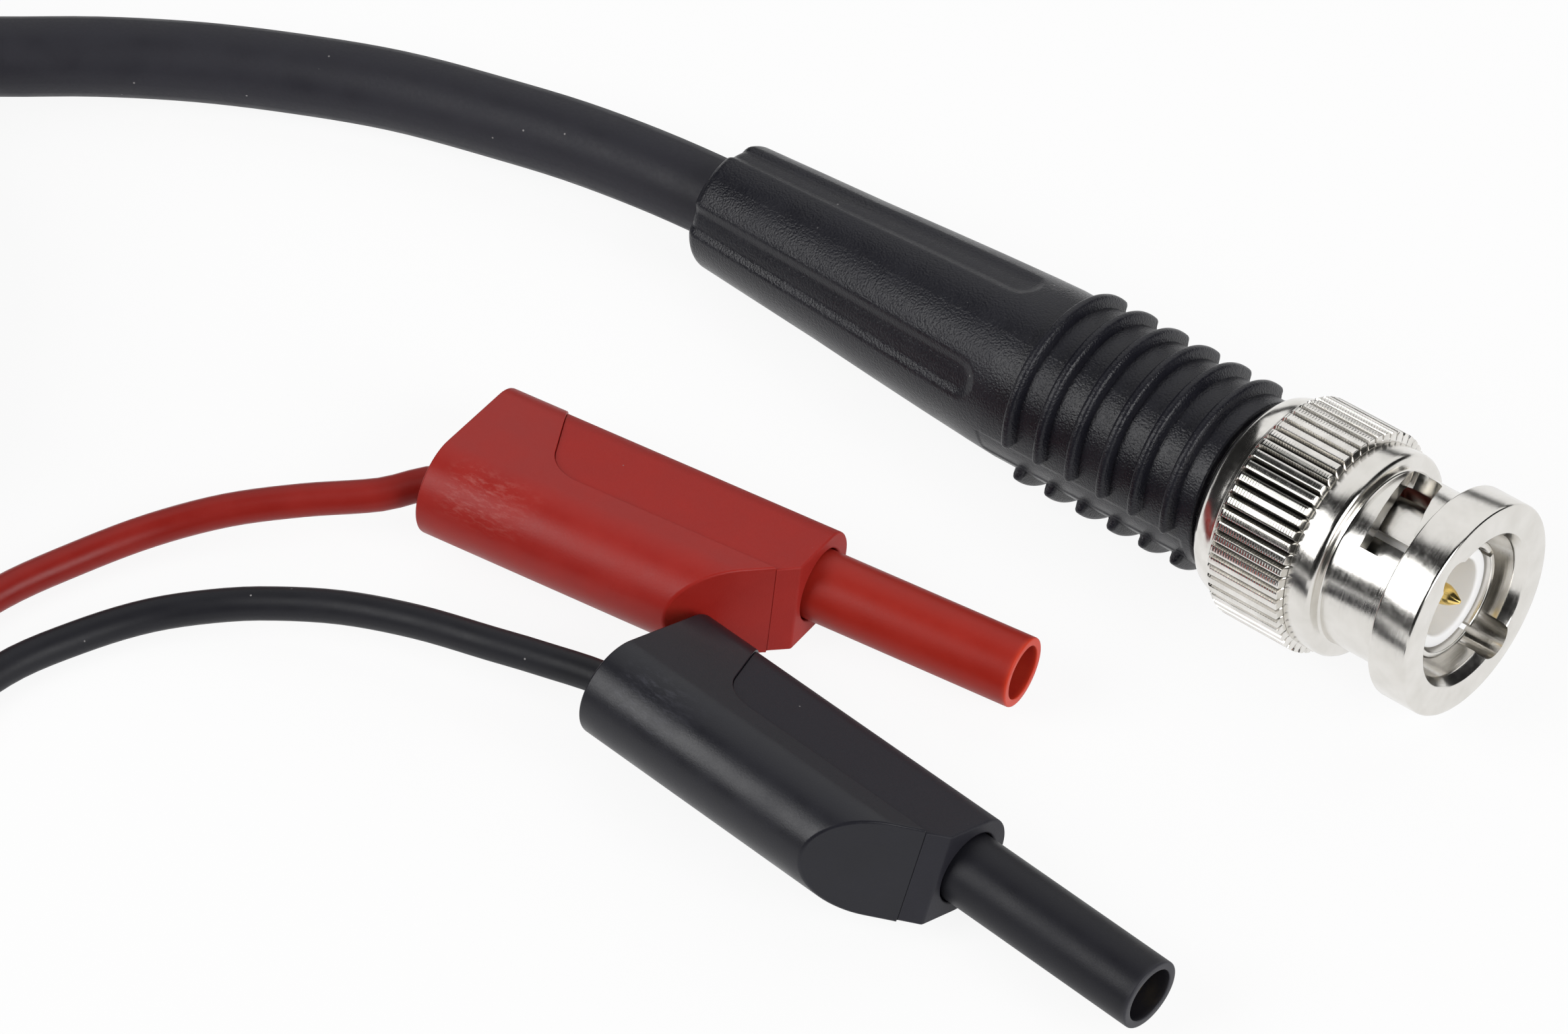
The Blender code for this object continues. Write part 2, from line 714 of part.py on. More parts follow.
def strain_relief(axis):
    front = NUT_LENGTH + CORD_GAP
    clip_room_r = CLIP_OUTER_R + FIT
    clip_room_rear = NUT_LENGTH + 2 * FIT + CLIP_WIDTH + FIT
    ferrule_rear = BRAID_FRONT + FERRULE_LENGTH + CORD_GAP
    cable_bore = COAX_R + FIT
    shoulder = BARREL_REAR + FIT
    corner = BOOT_ROUND * (1 - math.sqrt(0.5))
    profile = [
        (BOOT_FRONT_R - EDGE, -front),
        (BOOT_FRONT_R, -front - EDGE),
        (BOOT_WAIST_R, -BOOT_WAIST),
        (BOOT_REAR_R, -BOOT_REAR + BOOT_ROUND),
        (BOOT_REAR_R - corner, -BOOT_REAR + corner),
        (BOOT_REAR_R - BOOT_ROUND, -BOOT_REAR),
        (cable_bore, -BOOT_REAR),
        (cable_bore, -ferrule_rear),
        (ferrule_r() + FIT, -ferrule_rear),
        (ferrule_r() + FIT, -shoulder),
        (BARREL_R + FIT, -shoulder),
        (BARREL_R + FIT, -clip_room_rear),
        (clip_room_r, -clip_room_rear),
        (clip_room_r, -front),
    ]
    boot = turned("boot", [profile], ROUND)
    boolean(boot, rib_set(axis), "UNION", axis)
    boolean(boot, flute_cutter(), "DIFFERENCE", axis)
    return as_part(boot, "strain_relief_boot", BOOT_BLACK, axis)


def rib_set(axis):
    """Rings round the boot, broken on both sides by a smooth band."""
    half = RIB_WIDTH / 2
    loops = []
    for i in range(RIB_COUNT):
        middle = -(RIB_FIRST + i * RIB_PITCH)
        loops.append(
            [
                (RIB_R - RIB_EDGE, middle + half),
                (RIB_R, middle + half - RIB_EDGE),
                (RIB_R, middle - half + RIB_EDGE),
                (RIB_R - RIB_EDGE, middle - half),
                (RIB_ROOT_R, middle - half),
                (RIB_ROOT_R, middle + half),
            ]
        )
    ribs = turned("rib_set", loops, ROUND)
    rib_middle = RIB_FIRST + (RIB_COUNT - 1) * RIB_PITCH / 2
    turn = Matrix.Rotation(math.radians(BAND_DEG), 4, "Z")
    place = Matrix.Translation((0.0, 0.0, -rib_middle)) @ turn
    band = block("rib_band", (4 * RIB_R, RIB_BAND, 2 * RIB_COUNT * RIB_PITCH), place)
    return boolean(ribs, band, "DIFFERENCE", axis)


def flute_cutter():
    """Shallow round-ended grooves along the boot's rear, following its taper."""
    out = FLUTE_R - FLUTE_DEPTH
    taper = (BOOT_WAIST_R - BOOT_REAR_R) / (BOOT_REAR - BOOT_WAIST)
    splines = []
    for i in range(FLUTE_COUNT):
        angle = FLUTE_DEG + 360 * i / FLUTE_COUNT
        points = []
        for depth, share in flute_stations():
            points.append((polar(BOOT_REAR_R + (BOOT_REAR - depth) * taper + out, angle, -depth), share))
        splines.append(points)
    return solid_mesh(tube("flute_cutter", splines, FLUTE_R))


def flute_stations():
    """Depths along a flute with the share of its radius: full to near the end, then rounded off."""
    stations = [(BOOT_REAR + FLUTE_R, 1.0), (FLUTE_END + FLUTE_ROUND, 1.0)]
    for degrees in FLUTE_ROUND_DEG:
        turn = math.radians(degrees)
        depth = FLUTE_END + FLUTE_ROUND * (1 - math.sin(turn))
        stations.append((depth, 1 - FLUTE_LIFT * (1 - math.cos(turn))))
    return stations


# Safety plugs


def plug_matrix(place):
    heading = math.radians(place["heading"])
    roll = math.radians(place["roll"])
    forward = Vector((math.cos(heading), math.sin(heading), 0.0))
    near = Vector((forward.y, -forward.x, 0.0))
    toward_lead = near * math.cos(roll) + Vector((0.0, 0.0, math.sin(roll)))
    across = forward.cross(toward_lead)
    matrix = Matrix((toward_lead, across, forward)).transposed().to_4x4()
    mouth = Vector((*place["mouth"], PLUG_R))
    matrix.translation = mouth - forward * SHROUD_OUT - LAYOUT_CENTRE
    return matrix


def plug_outline():
    return arc(PLUG_OFFSET, 0.0, PLUG_R, -90, 90, 12) + arc(0.0, 0.0, PLUG_R, 90, 270, 12)


def nose_region(name, shrink):
    """The part of the body round the shroud, up to the seam that divides it from the rear shell."""
    right = NOSE_WIDTH - shrink
    back = NOSE_LENGTH - shrink
    far = 2 * PLUG_R
    front = 2 * PLUG_R
    corner = arc(right - NOSE_CORNER, NOSE_CORNER - back, NOSE_CORNER, -90, 0, 4)
    loop = [(-far, front), (-far, -back), *corner, (right, front)]
    region = outline(name, [loop], -2 * PLUG_R, 2 * PLUG_R)
    region.data.transform(Matrix.Rotation(math.radians(90), 4, "X"))
    return region


def chamfer_tool(name):
    """The flat oblique face that takes off the front corner on the lead's side."""
    width = PLUG_OFFSET + PLUG_R - CHAMFER_START
    angle = math.atan2(CHAMFER_BACK, width)
    size = 6 * PLUG_R
    turn = Matrix.Rotation(angle, 4, "Y")
    start = Matrix.Translation((CHAMFER_START, 0.0, 0.0))
    shift = Matrix.Translation((0.5 * size - PLUG_R, 0.0, 0.5 * size))
    return block(name, (size, size, size), start @ turn @ shift)


def plug_rooms(colour, axis):
    """Hollows of the body: shroud mouth, spring room, web hole, rear socket, lead passage and link slot."""
    web_rear = SPRING_ROOM_END + WEB_LENGTH
    link_middle = SPRING_ROOM_END + WEB_LENGTH / 2
    link_width = 2 * (LINK_HALF_WIDTH + FIT)
    link_room = (PLUG_OFFSET + link_width, link_width, LINK_THICKNESS + 2 * FIT)
    rooms = [
        cylinder(colour + "_mouth_room", SHROUD_R + FIT, -PLUG_R, MOUTH_LENGTH + FIT),
        cylinder(colour + "_spring_room", SPRING_ROOM_R, MOUTH_LENGTH, SPRING_ROOM_END),
        cylinder(colour + "_web_room", TIP_R + FIT, SPRING_ROOM_END - FIT, web_rear + FIT),
        cylinder(colour + "_socket_room", SOCKET_ROOM_R, web_rear, PLUG_LENGTH + PLUG_R),
        cylinder(colour + "_wire_room", CRIMP_R + FIT, WIRE_ROOM_END, web_rear, PLUG_OFFSET),
        cylinder(colour + "_lead_room", LEAD_R + FIT, web_rear - FIT, PLUG_LENGTH + PLUG_R, PLUG_OFFSET),
        block(colour + "_link_room", link_room, Matrix.Translation((PLUG_OFFSET / 2, 0.0, -link_middle))),
    ]
    return [as_tool(room, axis) for room in rooms]


def plug_shells(colour, axis):
    rooms = plug_rooms(colour, axis)
    shell = outline(colour + "_shell", [plug_outline()], 0.0, PLUG_LENGTH)
    nose = outline(colour + "_nose", [plug_outline()], 0.0, PLUG_LENGTH)
    boolean(shell, nose_region(colour + "_shell_region", 0.0), "DIFFERENCE", axis)
    boolean(nose, nose_region(colour + "_nose_region", SEAM), "INTERSECT", axis)
    chamfer = as_tool(chamfer_tool(colour + "_chamfer"), axis)
    for piece in (shell, nose):
        boolean(piece, chamfer, "DIFFERENCE")
        for room in rooms:
            boolean(piece, room, "DIFFERENCE")
    as_part(shell, colour + "_plug_shell", PLASTIC[colour], axis)
    as_part(nose, colour + "_plug_nose", PLASTIC[colour], axis)


def plug_shroud(colour, axis):
    """The sprung sleeve round the pin, kept in by a collar behind the mouth."""
    collar_r = SPRING_ROOM_R - FIT
    profile = [
        (SHROUD_R - SHROUD_EDGE, SHROUD_OUT),
        (SHROUD_R, SHROUD_OUT - SHROUD_EDGE),
        (SHROUD_R, -SHROUD_IN + SHROUD_COLLAR),
        (collar_r, -SHROUD_IN + SHROUD_COLLAR),
        (collar_r, -SHROUD_IN),
        (SHROUD_BORE_R, -SHROUD_IN),
        (SHROUD_BORE_R, SHROUD_OUT),
    ]
    as_part(turned("shroud", [profile], ROUND), colour + "_shroud", PLASTIC[colour], axis)

    mean_r = (SHROUD_BORE_R + SHROUD_R) / 2
    front = SHROUD_IN + FIT + SPRING_WIRE_R
    rear = SPRING_ROOM_END - FIT - SPRING_WIRE_R
    count = SPRING_TURNS * POINTS_PER_CURL
    curl = 360 / POINTS_PER_CURL
    points = [polar(mean_r, curl * i, -front - (rear - front) * i / count) for i in range(count + 1)]
    gap = (rear - front) / SPRING_TURNS - 2 * SPRING_WIRE_R
    print(colour, "shroud spring least gap to itself, mm:", round(gap / MM, 2))
    spring = tube("spring", [[(point, 1.0) for point in points]], SPRING_WIRE_R, 1)
    as_part(spring, colour + "_shroud_spring", STEEL, axis)


def plug_contacts(colour, axis):
    tip = SHROUD_OUT - TIP_SET_BACK
    web_rear = SPRING_ROOM_END + WEB_LENGTH
    cage_front = tip - 2 * TIP_R
    cage_rear = cage_front - CAGE_LENGTH
    pin = [
        *rounded_tip(TIP_R, tip),
        (TIP_R, cage_front),
        (WAIST_R, cage_front),
        (WAIST_R, cage_rear),
        (TIP_R, cage_rear),
        (TIP_R, -web_rear),
        (0.0, -web_rear),
    ]
    as_part(turned("pin", [pin], SMALL), colour + "_contact_pin", GOLD, axis)

    inner = WAIST_R + SNUG
    outer = inner + CAGE_WALL
    middle = (cage_front + cage_rear) / 2
    cage = [
        (outer, cage_front - FIT),
        (outer + CAGE_BULGE, middle),
        (outer, cage_rear + FIT),
        (inner, cage_rear + FIT),
        (inner + CAGE_BULGE, middle),
        (inner, cage_front - FIT),
    ]
    cage = turned("cage", [cage], SMALL)
    for turn in CAGE_SLOT_DEG:
        place = Matrix.Translation((0.0, 0.0, middle)) @ Matrix.Rotation(math.radians(turn), 4, "Z")
        slot = block(f"{colour}_cage_slot_{turn}", (4 * outer, CAGE_SLOT, CAGE_SLOT_LENGTH), place)
        boolean(cage, slot, "DIFFERENCE", axis)
    as_part(cage, colour + "_contact_cage", GOLD, axis)

    socket = ring(SOCKET_R, TIP_R + SOCKET_CLEARANCE, web_rear + FIT, PLUG_LENGTH - SOCKET_SET_BACK)
    as_part(turned("socket", [socket], SMALL), colour + "_stack_socket", BRASS, axis)

    link_middle = SPRING_ROOM_END + WEB_LENGTH / 2
    half = LINK_HALF_WIDTH
    sides = arc(PLUG_OFFSET, 0.0, half, -90, 90, 8) + arc(0.0, 0.0, half, 90, 270, 8)
    wire_hole = [(PLUG_OFFSET + x, y) for x, y in circle(WIRE_R + FIT, 12)]
    holes = [circle(TIP_R + SNUG, 12), wire_hole]
    link_front = link_middle - LINK_THICKNESS / 2
    link = outline("link", [sides, *holes], link_front, link_front + LINK_THICKNESS)
    as_part(link, colour + "_contact_link", BRASS, axis)

    crimp_rear = link_front - FIT
    crimp = ring(CRIMP_R, WIRE_R + FIT, crimp_rear - CRIMP_LENGTH, crimp_rear)
    crimp = turned("crimp", [crimp], SMALL)
    crimp.location.x = PLUG_OFFSET
    as_part(crimp, colour + "_crimp_barrel", BRASS, axis)

    wire_front = crimp_rear - CRIMP_LENGTH
    wire_rear = LEAD_FRONT - CORD_GAP
    wire = [(0.0, -wire_front), (WIRE_R, -wire_front), (WIRE_R, -wire_rear), (0.0, -wire_rear)]
    wire = turned("wire", [wire], SMALL)
    wire.location.x = PLUG_OFFSET
    as_part(wire, colour + "_lead_wire", COPPER, axis)


# Splitter and cords


def coil_path():
    """Centreline of the coil: it spirals in on the table, climbs a layer and spirals out on top."""
    sweep = 360 * COIL_FULL_TURNS + COIL_EXIT_DEG - COIL_ENTRY_DEG
    count = round(sweep / 360 * POINTS_PER_LOOP)
    low = COAX_R + TIE_WALL + CORD_GAP
    middle = sweep / 2
    points = []
    for i in range(count + 1):
        turned_by = sweep * i / count
        inward = min(turned_by, sweep - turned_by) / 360
        climb = min(1.0, max(0.0, (turned_by - middle) / COIL_CLIMB_DEG + 0.5))
        lift = COIL_STEP * climb * climb * (3 - 2 * climb)
        centre = Vector((*COIL_CENTRE, 0.0))
        points.append(centre + polar(COIL_R - COIL_STEP * inward, COIL_ENTRY_DEG + turned_by, low + lift))
    straight = 2 * COAX_R
    before = points[0] - polar(straight, COIL_ENTRY_DEG + 90, 0.0)
    after = points[-1] + polar(straight, COIL_EXIT_DEG + 90, 0.0)
    return [before, *points, after]


def least_gap(points, radius):
    """Least clear distance between stretches of one tube that lie over four diameters apart along it."""
    reach = 8 * radius
    along = [0.0]
    for a, b in zip(points, points[1:]):
        along.append(along[-1] + (b - a).length)
    least = math.inf
    for i, first in enumerate(points):
        for j in range(i + 2, len(points) - 1):
            if along[j] - along[i] < reach:
                continue
            step = points[j + 1] - points[j]
            share = min(1.0, max(0.0, (first - points[j]).dot(step) / step.dot(step)))
            least = min(least, (first - points[j] - step * share).length)
    return least - 2 * radius


def splitter_matrix(coil_end, heading):
    """The block lies flat on the table, ahead of the coil's outgoing end."""
    side = Vector((-heading.y, heading.x, 0.0))
    matrix = Matrix((heading, side, Vector((0.0, 0.0, 1.0)))).transposed().to_4x4()
    length, _, height = SPLITTER_SIZE
    middle = coil_end + heading * (SPLITTER_START + length / 2)
    matrix.translation = Vector((middle.x, middle.y, height / 2))
    return matrix


def splitter(axis):
    length, width, height = SPLITTER_SIZE
    toward_coax = Matrix.Rotation(math.radians(90), 4, "Y")
    toward_leads = Matrix.Rotation(math.radians(-90), 4, "Y")
    port_floor = length / 2 - SPLITTER_BORE_DEPTH
    rooms = [cylinder("coax_port", COAX_R + FIT, port_floor, length)]
    rooms[0].data.transform(toward_coax)
    for name, side in (("lead_port_a", 0.5), ("lead_port_b", -0.5)):
        port = cylinder(name, LEAD_R + FIT, port_floor, length)
        port.data.transform(Matrix.Translation((0.0, side * SPLICE_SPACING, 0.0)) @ toward_leads)
        rooms.append(port)
    room_size = (length - 2 * SPLITTER_ENTRY, SPLICE_SPACING + 2 * (SPLICE_R + FIT), 2 * (COAX_R + FIT))
    rooms.append(block("splice_room", room_size, Matrix.Identity(4)))
    for room in rooms:
        as_tool(room, axis)
    for name, side in (("splitter_base", -1), ("splitter_cover", 1)):
        place = Matrix.Translation((0.0, 0.0, side * (height + SEAM) / 4))
        half = block(name, (length, width, (height - SEAM) / 2), place)
        rounding = half.modifiers.new("round", "BEVEL")
        rounding.width = SPLITTER_ROUND
        rounding.segments = 2
        rounding.limit_method = "WEIGHT"
        outer_edges(half.data, side)
        for room in rooms:
            boolean(half, room, "DIFFERENCE")
        as_part(half, name, BOOT_BLACK, axis)
    for name, side in (("core_splice", 0.5), ("shield_splice", -0.5)):
        splice_length = length - 2 * SPLITTER_ENTRY - 4 * FIT
        splice = turned(name, [ring(SPLICE_R, WIRE_R + FIT, -splice_length / 2, splice_length / 2)], SMALL)
        splice.rotation_euler.y = math.radians(90)
        splice.location.y = side * SPLICE_SPACING
        as_part(splice, name, BRASS, axis)


def outer_edges(mesh, side):
    """Marks every edge for rounding except those on the seam between the two halves."""
    weights = mesh.attributes.new("bevel_weight_edge", "FLOAT", "EDGE")
    seam = min(side * vertex.co.z for vertex in mesh.vertices)
    for edge in mesh.edges:
        on_seam = [side * mesh.vertices[i].co.z < seam + SEAM for i in edge.vertices]
        weights.data[edge.index].value = 0.0 if all(on_seam) else 1.0


def cord(name, points, radius, material, bevel_resolution=2):
    obj = tube(name, [[(point, 1.0) for point in points]], radius, bevel_resolution)
    length = sum((b - a).length for a, b in zip(points, points[1:]))
    print(name, "length, mm:", round(length / MM, 1), "points:", len(points))
    return as_part(obj, name, material)


def on_table(route):
    return [Vector(point) * MM - LAYOUT_CENTRE for point in route]


def cords(bayonet, plugs):
    spiral = [point - LAYOUT_CENTRE for point in coil_path()]
    print("coil least gap to itself, mm:", round(least_gap(spiral, COAX_R) / MM, 2))
    cord("coax_coil", spiral, COAX_R, CABLE_BLACK, 1)

    inside = [bayonet @ Vector((0.0, 0.0, -depth)) for depth in (JACKET_END + CORD_GAP, BOOT_REAR)]
    entry = (spiral[0] - spiral[1]).normalized()
    meet = spiral[0] + entry * CORD_GAP
    route = [inside[0], inside[1], *on_table(COAX_ROUTE), meet + entry * 2 * COAX_R, meet]
    cord("coax_lead", smooth_route(route, CORD_POINT_STEP * 2 * COAX_R), COAX_R, CABLE_BLACK)

    heading = (spiral[-1] - spiral[-2]).normalized()
    block_place = splitter_matrix(spiral[-1], heading)
    axis = new_empty("splitter_place", block_place)
    splitter(axis)
    length = SPLITTER_SIZE[0]
    leave = spiral[-1] + heading * CORD_GAP
    port = block_place @ Vector((-length / 2, 0.0, 0.0))
    end = block_place @ Vector((SPLITTER_ENTRY - FIT - length / 2, 0.0, 0.0))
    route = [leave, leave + heading * COAX_STRAIGHT, port, end]
    cord("coax_tail", smooth_route(route, COAX_R), COAX_R, CABLE_BLACK)

    for colour, side in (("red", 0.5), ("black", -0.5)):
        plug = plugs[colour]
        start = plug @ Vector((PLUG_OFFSET, 0.0, -LEAD_FRONT))
        out = plug @ Vector((PLUG_OFFSET, 0.0, -PLUG_LENGTH))
        port = block_place @ Vector((length / 2, side * SPLICE_SPACING, 0.0))
        end = block_place @ Vector((length / 2 - SPLITTER_ENTRY + FIT, side * SPLICE_SPACING, 0.0))
        straight = block_place @ Vector((length / 2 + LEAD_STRAIGHT, side * SPLICE_SPACING, 0.0))
        route = [start, out, *on_table(LEAD_ROUTES[colour]), straight, port, end]
        cord(colour + "_lead", smooth_route(route, CORD_POINT_STEP * 2 * LEAD_R), LEAD_R, LEAD[colour])


def coil_tie():
    """A flat band drawn round all the turns where it crosses them."""
    held = []
    for point in coil_path():
        across = point.xy - COIL_CENTRE
        if abs(across.angle_signed(polar(1.0, TIE_DEG, 0.0).xy)) < 2 * TIE_WIDTH / COIL_R:
            held.append(across.length)
    inner = math.sqrt(min(held) ** 2 - TIE_WIDTH**2 / 4) - COAX_R - CORD_GAP
    outer = max(held) + COAX_R + CORD_GAP
    top = 2 * TIE_WALL + 2 * COAX_R + COIL_STEP + 2 * CORD_GAP
    hole_half = (outer - inner) / 2
    height_half = top / 2 - TIE_WALL
    corner = COAX_R / 2

    def rounded(half_x, half_y, radius):
        loop = []
        for quarter, (sx, sy) in enumerate(((1, 1), (-1, 1), (-1, -1), (1, -1))):
            start = 90 * quarter
            loop += arc(sx * (half_x - radius), sy * (half_y - radius), radius, start, start + 90, 4)
        return loop

    band = [
        rounded(hole_half + TIE_WALL, height_half + TIE_WALL, corner + TIE_WALL),
        rounded(hole_half, height_half, corner),
    ]
    tie = outline("tie", band, -TIE_WIDTH / 2, TIE_WIDTH / 2)
    tie.data.transform(Matrix.Rotation(math.radians(90), 4, "X"))
    turn = Matrix.Rotation(math.radians(TIE_DEG), 4, "Z")
    centre = Matrix.Translation(Vector((*COIL_CENTRE, top / 2)) - LAYOUT_CENTRE)
    tie.data.transform(centre @ turn @ Matrix.Translation(((inner + outer) / 2, 0.0, 0.0)))
    as_part(tie, "coil_tie", TIE_BLACK)


def main():
    bayonet_place = bayonet_matrix()
    bayonet = new_empty("bayonet_axis", bayonet_place)
    coupling_nut(bayonet)
    bayonet_body(bayonet)
    bayonet_inside(bayonet)
    cable_end(bayonet)
    strain_relief(bayonet)
    plug_places = {}
    for colour, place in PLUGS.items():
        plug_places[colour] = plug_matrix(place)
        axis = new_empty(colour + "_pin_axis", plug_places[colour])
        plug_shells(colour, axis)
        plug_shroud(colour, axis)
        plug_contacts(colour, axis)
    cords(bayonet_place, plug_places)
    coil_tie()
    bpy.context.view_layer.update()


main()
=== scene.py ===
"""Studio picture of a coaxial test lead: a bayonet plug and two safety plugs on a white table."""

import json
import math

import bmesh
import bpy
from mathutils import Matrix, Vector


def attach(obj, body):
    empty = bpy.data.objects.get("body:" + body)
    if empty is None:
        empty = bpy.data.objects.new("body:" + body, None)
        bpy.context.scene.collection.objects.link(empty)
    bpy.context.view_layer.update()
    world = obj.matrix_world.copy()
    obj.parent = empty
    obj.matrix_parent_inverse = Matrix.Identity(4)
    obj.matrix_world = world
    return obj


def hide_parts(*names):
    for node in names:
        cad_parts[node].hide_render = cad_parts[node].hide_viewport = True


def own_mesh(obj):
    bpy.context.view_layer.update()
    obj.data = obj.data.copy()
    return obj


MM = 0.001
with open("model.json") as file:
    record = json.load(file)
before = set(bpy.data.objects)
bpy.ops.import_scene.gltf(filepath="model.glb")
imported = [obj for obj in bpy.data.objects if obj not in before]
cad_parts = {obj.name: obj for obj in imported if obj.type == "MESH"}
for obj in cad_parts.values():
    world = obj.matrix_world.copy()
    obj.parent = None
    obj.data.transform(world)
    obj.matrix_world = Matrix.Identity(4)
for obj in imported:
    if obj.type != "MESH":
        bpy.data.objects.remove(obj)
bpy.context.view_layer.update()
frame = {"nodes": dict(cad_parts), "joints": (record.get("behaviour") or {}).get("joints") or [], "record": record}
JOINTS = {joint["name"]: joint for joint in frame["joints"]}

# Camera
CAMERA_AZIMUTH = 40.78
CAMERA_ELEVATION = 47.3
CAMERA_DISTANCE = 450 * MM
CAMERA_TARGET = Vector((-12.61, 1.12, 0.0)) * MM
CAMERA_LENS = 162.2
CAMERA_SENSOR = 36.0
CAMERA_CLIP = (0.01, 20.0)

# Bayonet plug, in millimetres back from the nut's front face
FLANGE_R = 7.25
FLANGE_REAR = 2.8
SLEEVE_R = 5.93
STEP_R = 7.0
STEP_FRONT = 7.6
GRIP_FRONT = 9.5
GRIP_REAR = 15.3
KNURL_R = 7.62
KNURL_DEPTH = 0.55
KNURL_TEETH = 56
KNURL_FLAT = 0.58
RIPPLE_RATE = 31.0
RIPPLE_DEPTH = 0.014
GRIP_GAP = 0.02
GRIP_CORE_R = KNURL_R - KNURL_DEPTH - GRIP_GAP
GRIP_BEVEL = 0.12
GRIP_RUN_OUT = 0.35
# Steps behind the grip: inward, back and corner
NECK = [(0.1, 0.6, 0.3), (0.45, 1.6, 0.5)]
NUT_REAR = 17.35
NUT_REAR_R = 5.8
NUT_REAR_WALL = 0.8
NUT_BORE_R = 4.85
NUT_MOUTH_R = 5.3
NUT_MOUTH_REAR = 0.7
CHAMBER_R = 5.75
CHAMBER_FRONT = 9.2
CHAMBER_REAR = 14.4
WAVE_OUTER_R = 5.5
WAVE_INNER_R = 4.8
WAVE_MIDDLE = 12.475
WAVE_SHEET = 0.3
WAVE_EDGE = 0.06
WAVE_HEIGHT = 1.3
WAVE_COUNT = 3
RAMP_ENTRY_DEG = 206
RAMP_HALF_WIDTH = 1.25
RAMP_ENTRY_REAR = 4.2
CUTTER_PAST = 1.0
WINDOW_MARGIN = 0.6
RAMP_WINDOW = [
    (218, 2.82, 6.2), (208, 2.82, 6.2), (205, 2.85, 6.22), (196, 3.55, 6.33), (180, 4.05, 6.6),
    (168, 4.47, 6.87), (152, 4.98, 7.3), (143, 5.35, 7.5), (139, 5.9, 7.3), (137.5, 6.35, 6.9),
]
CONTACT_R = 4.05
CONTACT_BORE_R = 3.6
CONTACT_FRONT = 1.5
CONTACT_SLOT = 0.5
CONTACT_SLOT_REAR = 7.2
CONTACT_SLOT_DEG = (20, 110)
INSULATOR_R = 3.45
INSULATOR_BORE_R = 2.65
INSULATOR_FRONT = 1.9
INSULATOR_FLOOR = 8.2
INSULATOR_REAR = 12.3
PIN_R = 0.685
PIN_ROOM_R = PIN_R + 0.12
PIN_FRONT = 1.2
# The pin's point: radius, back and corner
PIN_POINT = [(0.0, 0.0, 0.0), (0.12, 0.0, 0.05), (0.5, 0.62, 0.1), (PIN_R, 1.1, 0.2)]
CUP_R = 1.1
CUP_BORE_R = 0.7
CUP_FRONT = 12.6
CUP_FLOOR = 14.4
CUP_REAR = 17.0
BODY_R = 4.55
BODY_BORE_R = 1.73
BODY_BORE_FRONT = 12.6
BODY_REAR = 19.4
GASKET_SEAT_R = 4.35
GASKET_SEAT_FRONT = 9.0
SHOULDER_R = 5.45
SHOULDER_FRONT = 10.2
SHOULDER_REAR = 11.4
CLIP_SEAT_R = 4.15
CLIP_GROOVE = (17.85, 18.6)

# Boot: (depth, radius) along its outer line, and (radius, depth) along its inside from rear to front
BOOT_FRONT = 17.65
BOOT_LIP = 0.25
BOOT_LIP_BEVEL = 0.06
BOOT_STATIONS = [
    (17.65, 5.83), (34.5, 6.0), (36.65, 5.9), (40.8, 5.66),
    (45.0, 5.39), (50.3, 5.02), (55.7, 4.71), (60.1, 4.45),
]
BOOT_REAR = 60.9
BOOT_ROUND = 0.8
BOOT_BORE_R = 2.85
CABLE_ROOM_R = 3.0
FERRULE_ROOM_R = 4.55
COLLAR_ROOM_R = 4.8
BOOT_ROOM_R = 5.3
BOOT_INSIDE = [
    (BOOT_BORE_R + 0.1, BOOT_REAR), (BOOT_BORE_R, BOOT_REAR - 0.1), (BOOT_BORE_R, BOOT_REAR - 1.4),
    (CABLE_ROOM_R, BOOT_REAR - 3.4), (CABLE_ROOM_R, 32.0),
    (FERRULE_ROOM_R, 31.7), (FERRULE_ROOM_R, 19.65),
    (COLLAR_ROOM_R, 19.6), (COLLAR_ROOM_R, 18.9),
    (BOOT_ROOM_R, 18.9),
]
BOOT_LINES = 320
# Start, step and count of the outer line's points
BOOT_SPACING = [(BOOT_FRONT + 0.12, 0.1, 186), (36.7, 0.3, 78)]
RIB_FIRST = 19.45
RIB_PITCH = 2.52
RIB_COUNT = 6
RIB_HALF = 0.41
RIB_RISE = 0.71
BAND_DEG = 285.5
BAND_HALF_DEG = 17.5
FLUTE_DEG = (246, 166, 66, 346)
FLUTE_END = 35.4
FLUTE_HALF_DEG = 15.2
FLUTE_DEPTH = 0.31
FLUTE_WALL_SHARE = 0.58
PARTING_DEG = tuple(line * 360 / BOOT_LINES for line in (183, 23))
PARTING_HALF_DEG = 0.1
PARTING_HEIGHT = 0.012
PANEL_DEG = (276, 297)
PANEL_SPAN = (18.5, 35.0)
PANEL_EDGE_DEG = 1.2
PANEL_EDGE = 0.14
PANEL_DEPTH = 0.07

# Safety plugs, in millimetres back from the body's front face
PLUG_LENGTH = 24.4
PLUG_R = 3.4
PLUG_OFFSET = 5.5
CHAMFER_START = 3.07
CHAMFER_SLOPE = 6.2 / (PLUG_OFFSET + PLUG_R - CHAMFER_START)
NOSE_WIDTH = 4.15
NOSE_BACK = 19.3
NOSE_SLANT = 0.4
NOSE_CORNER = 2.95
NOSE_INSET = 0.13
SEAM = 0.03
SEAM_REACH = 0.1
SEAM_SHARE = 0.3
EDGE = 0.16
SLEEVE_OUT_R = 2.34
SLEEVE_BORE_R = 1.79
SLEEVE_OUT = 14.5
SLEEVE_IN = 4.5
SLEEVE_COLLAR_R = 2.67
SLEEVE_COLLAR = 0.9
SPRING_R = 2.065
SPRING_FRONT = 4.96
SPRING_REAR = 16.74
SPRING_TURNS = 7
SPRING_WIRE_R = 0.21
SPRING_WIRE_SIDES = 10
SPRING_TURN_STEPS = 24
SPRING_ROOM_REAR = 17.2
WEB_REAR = 19.0
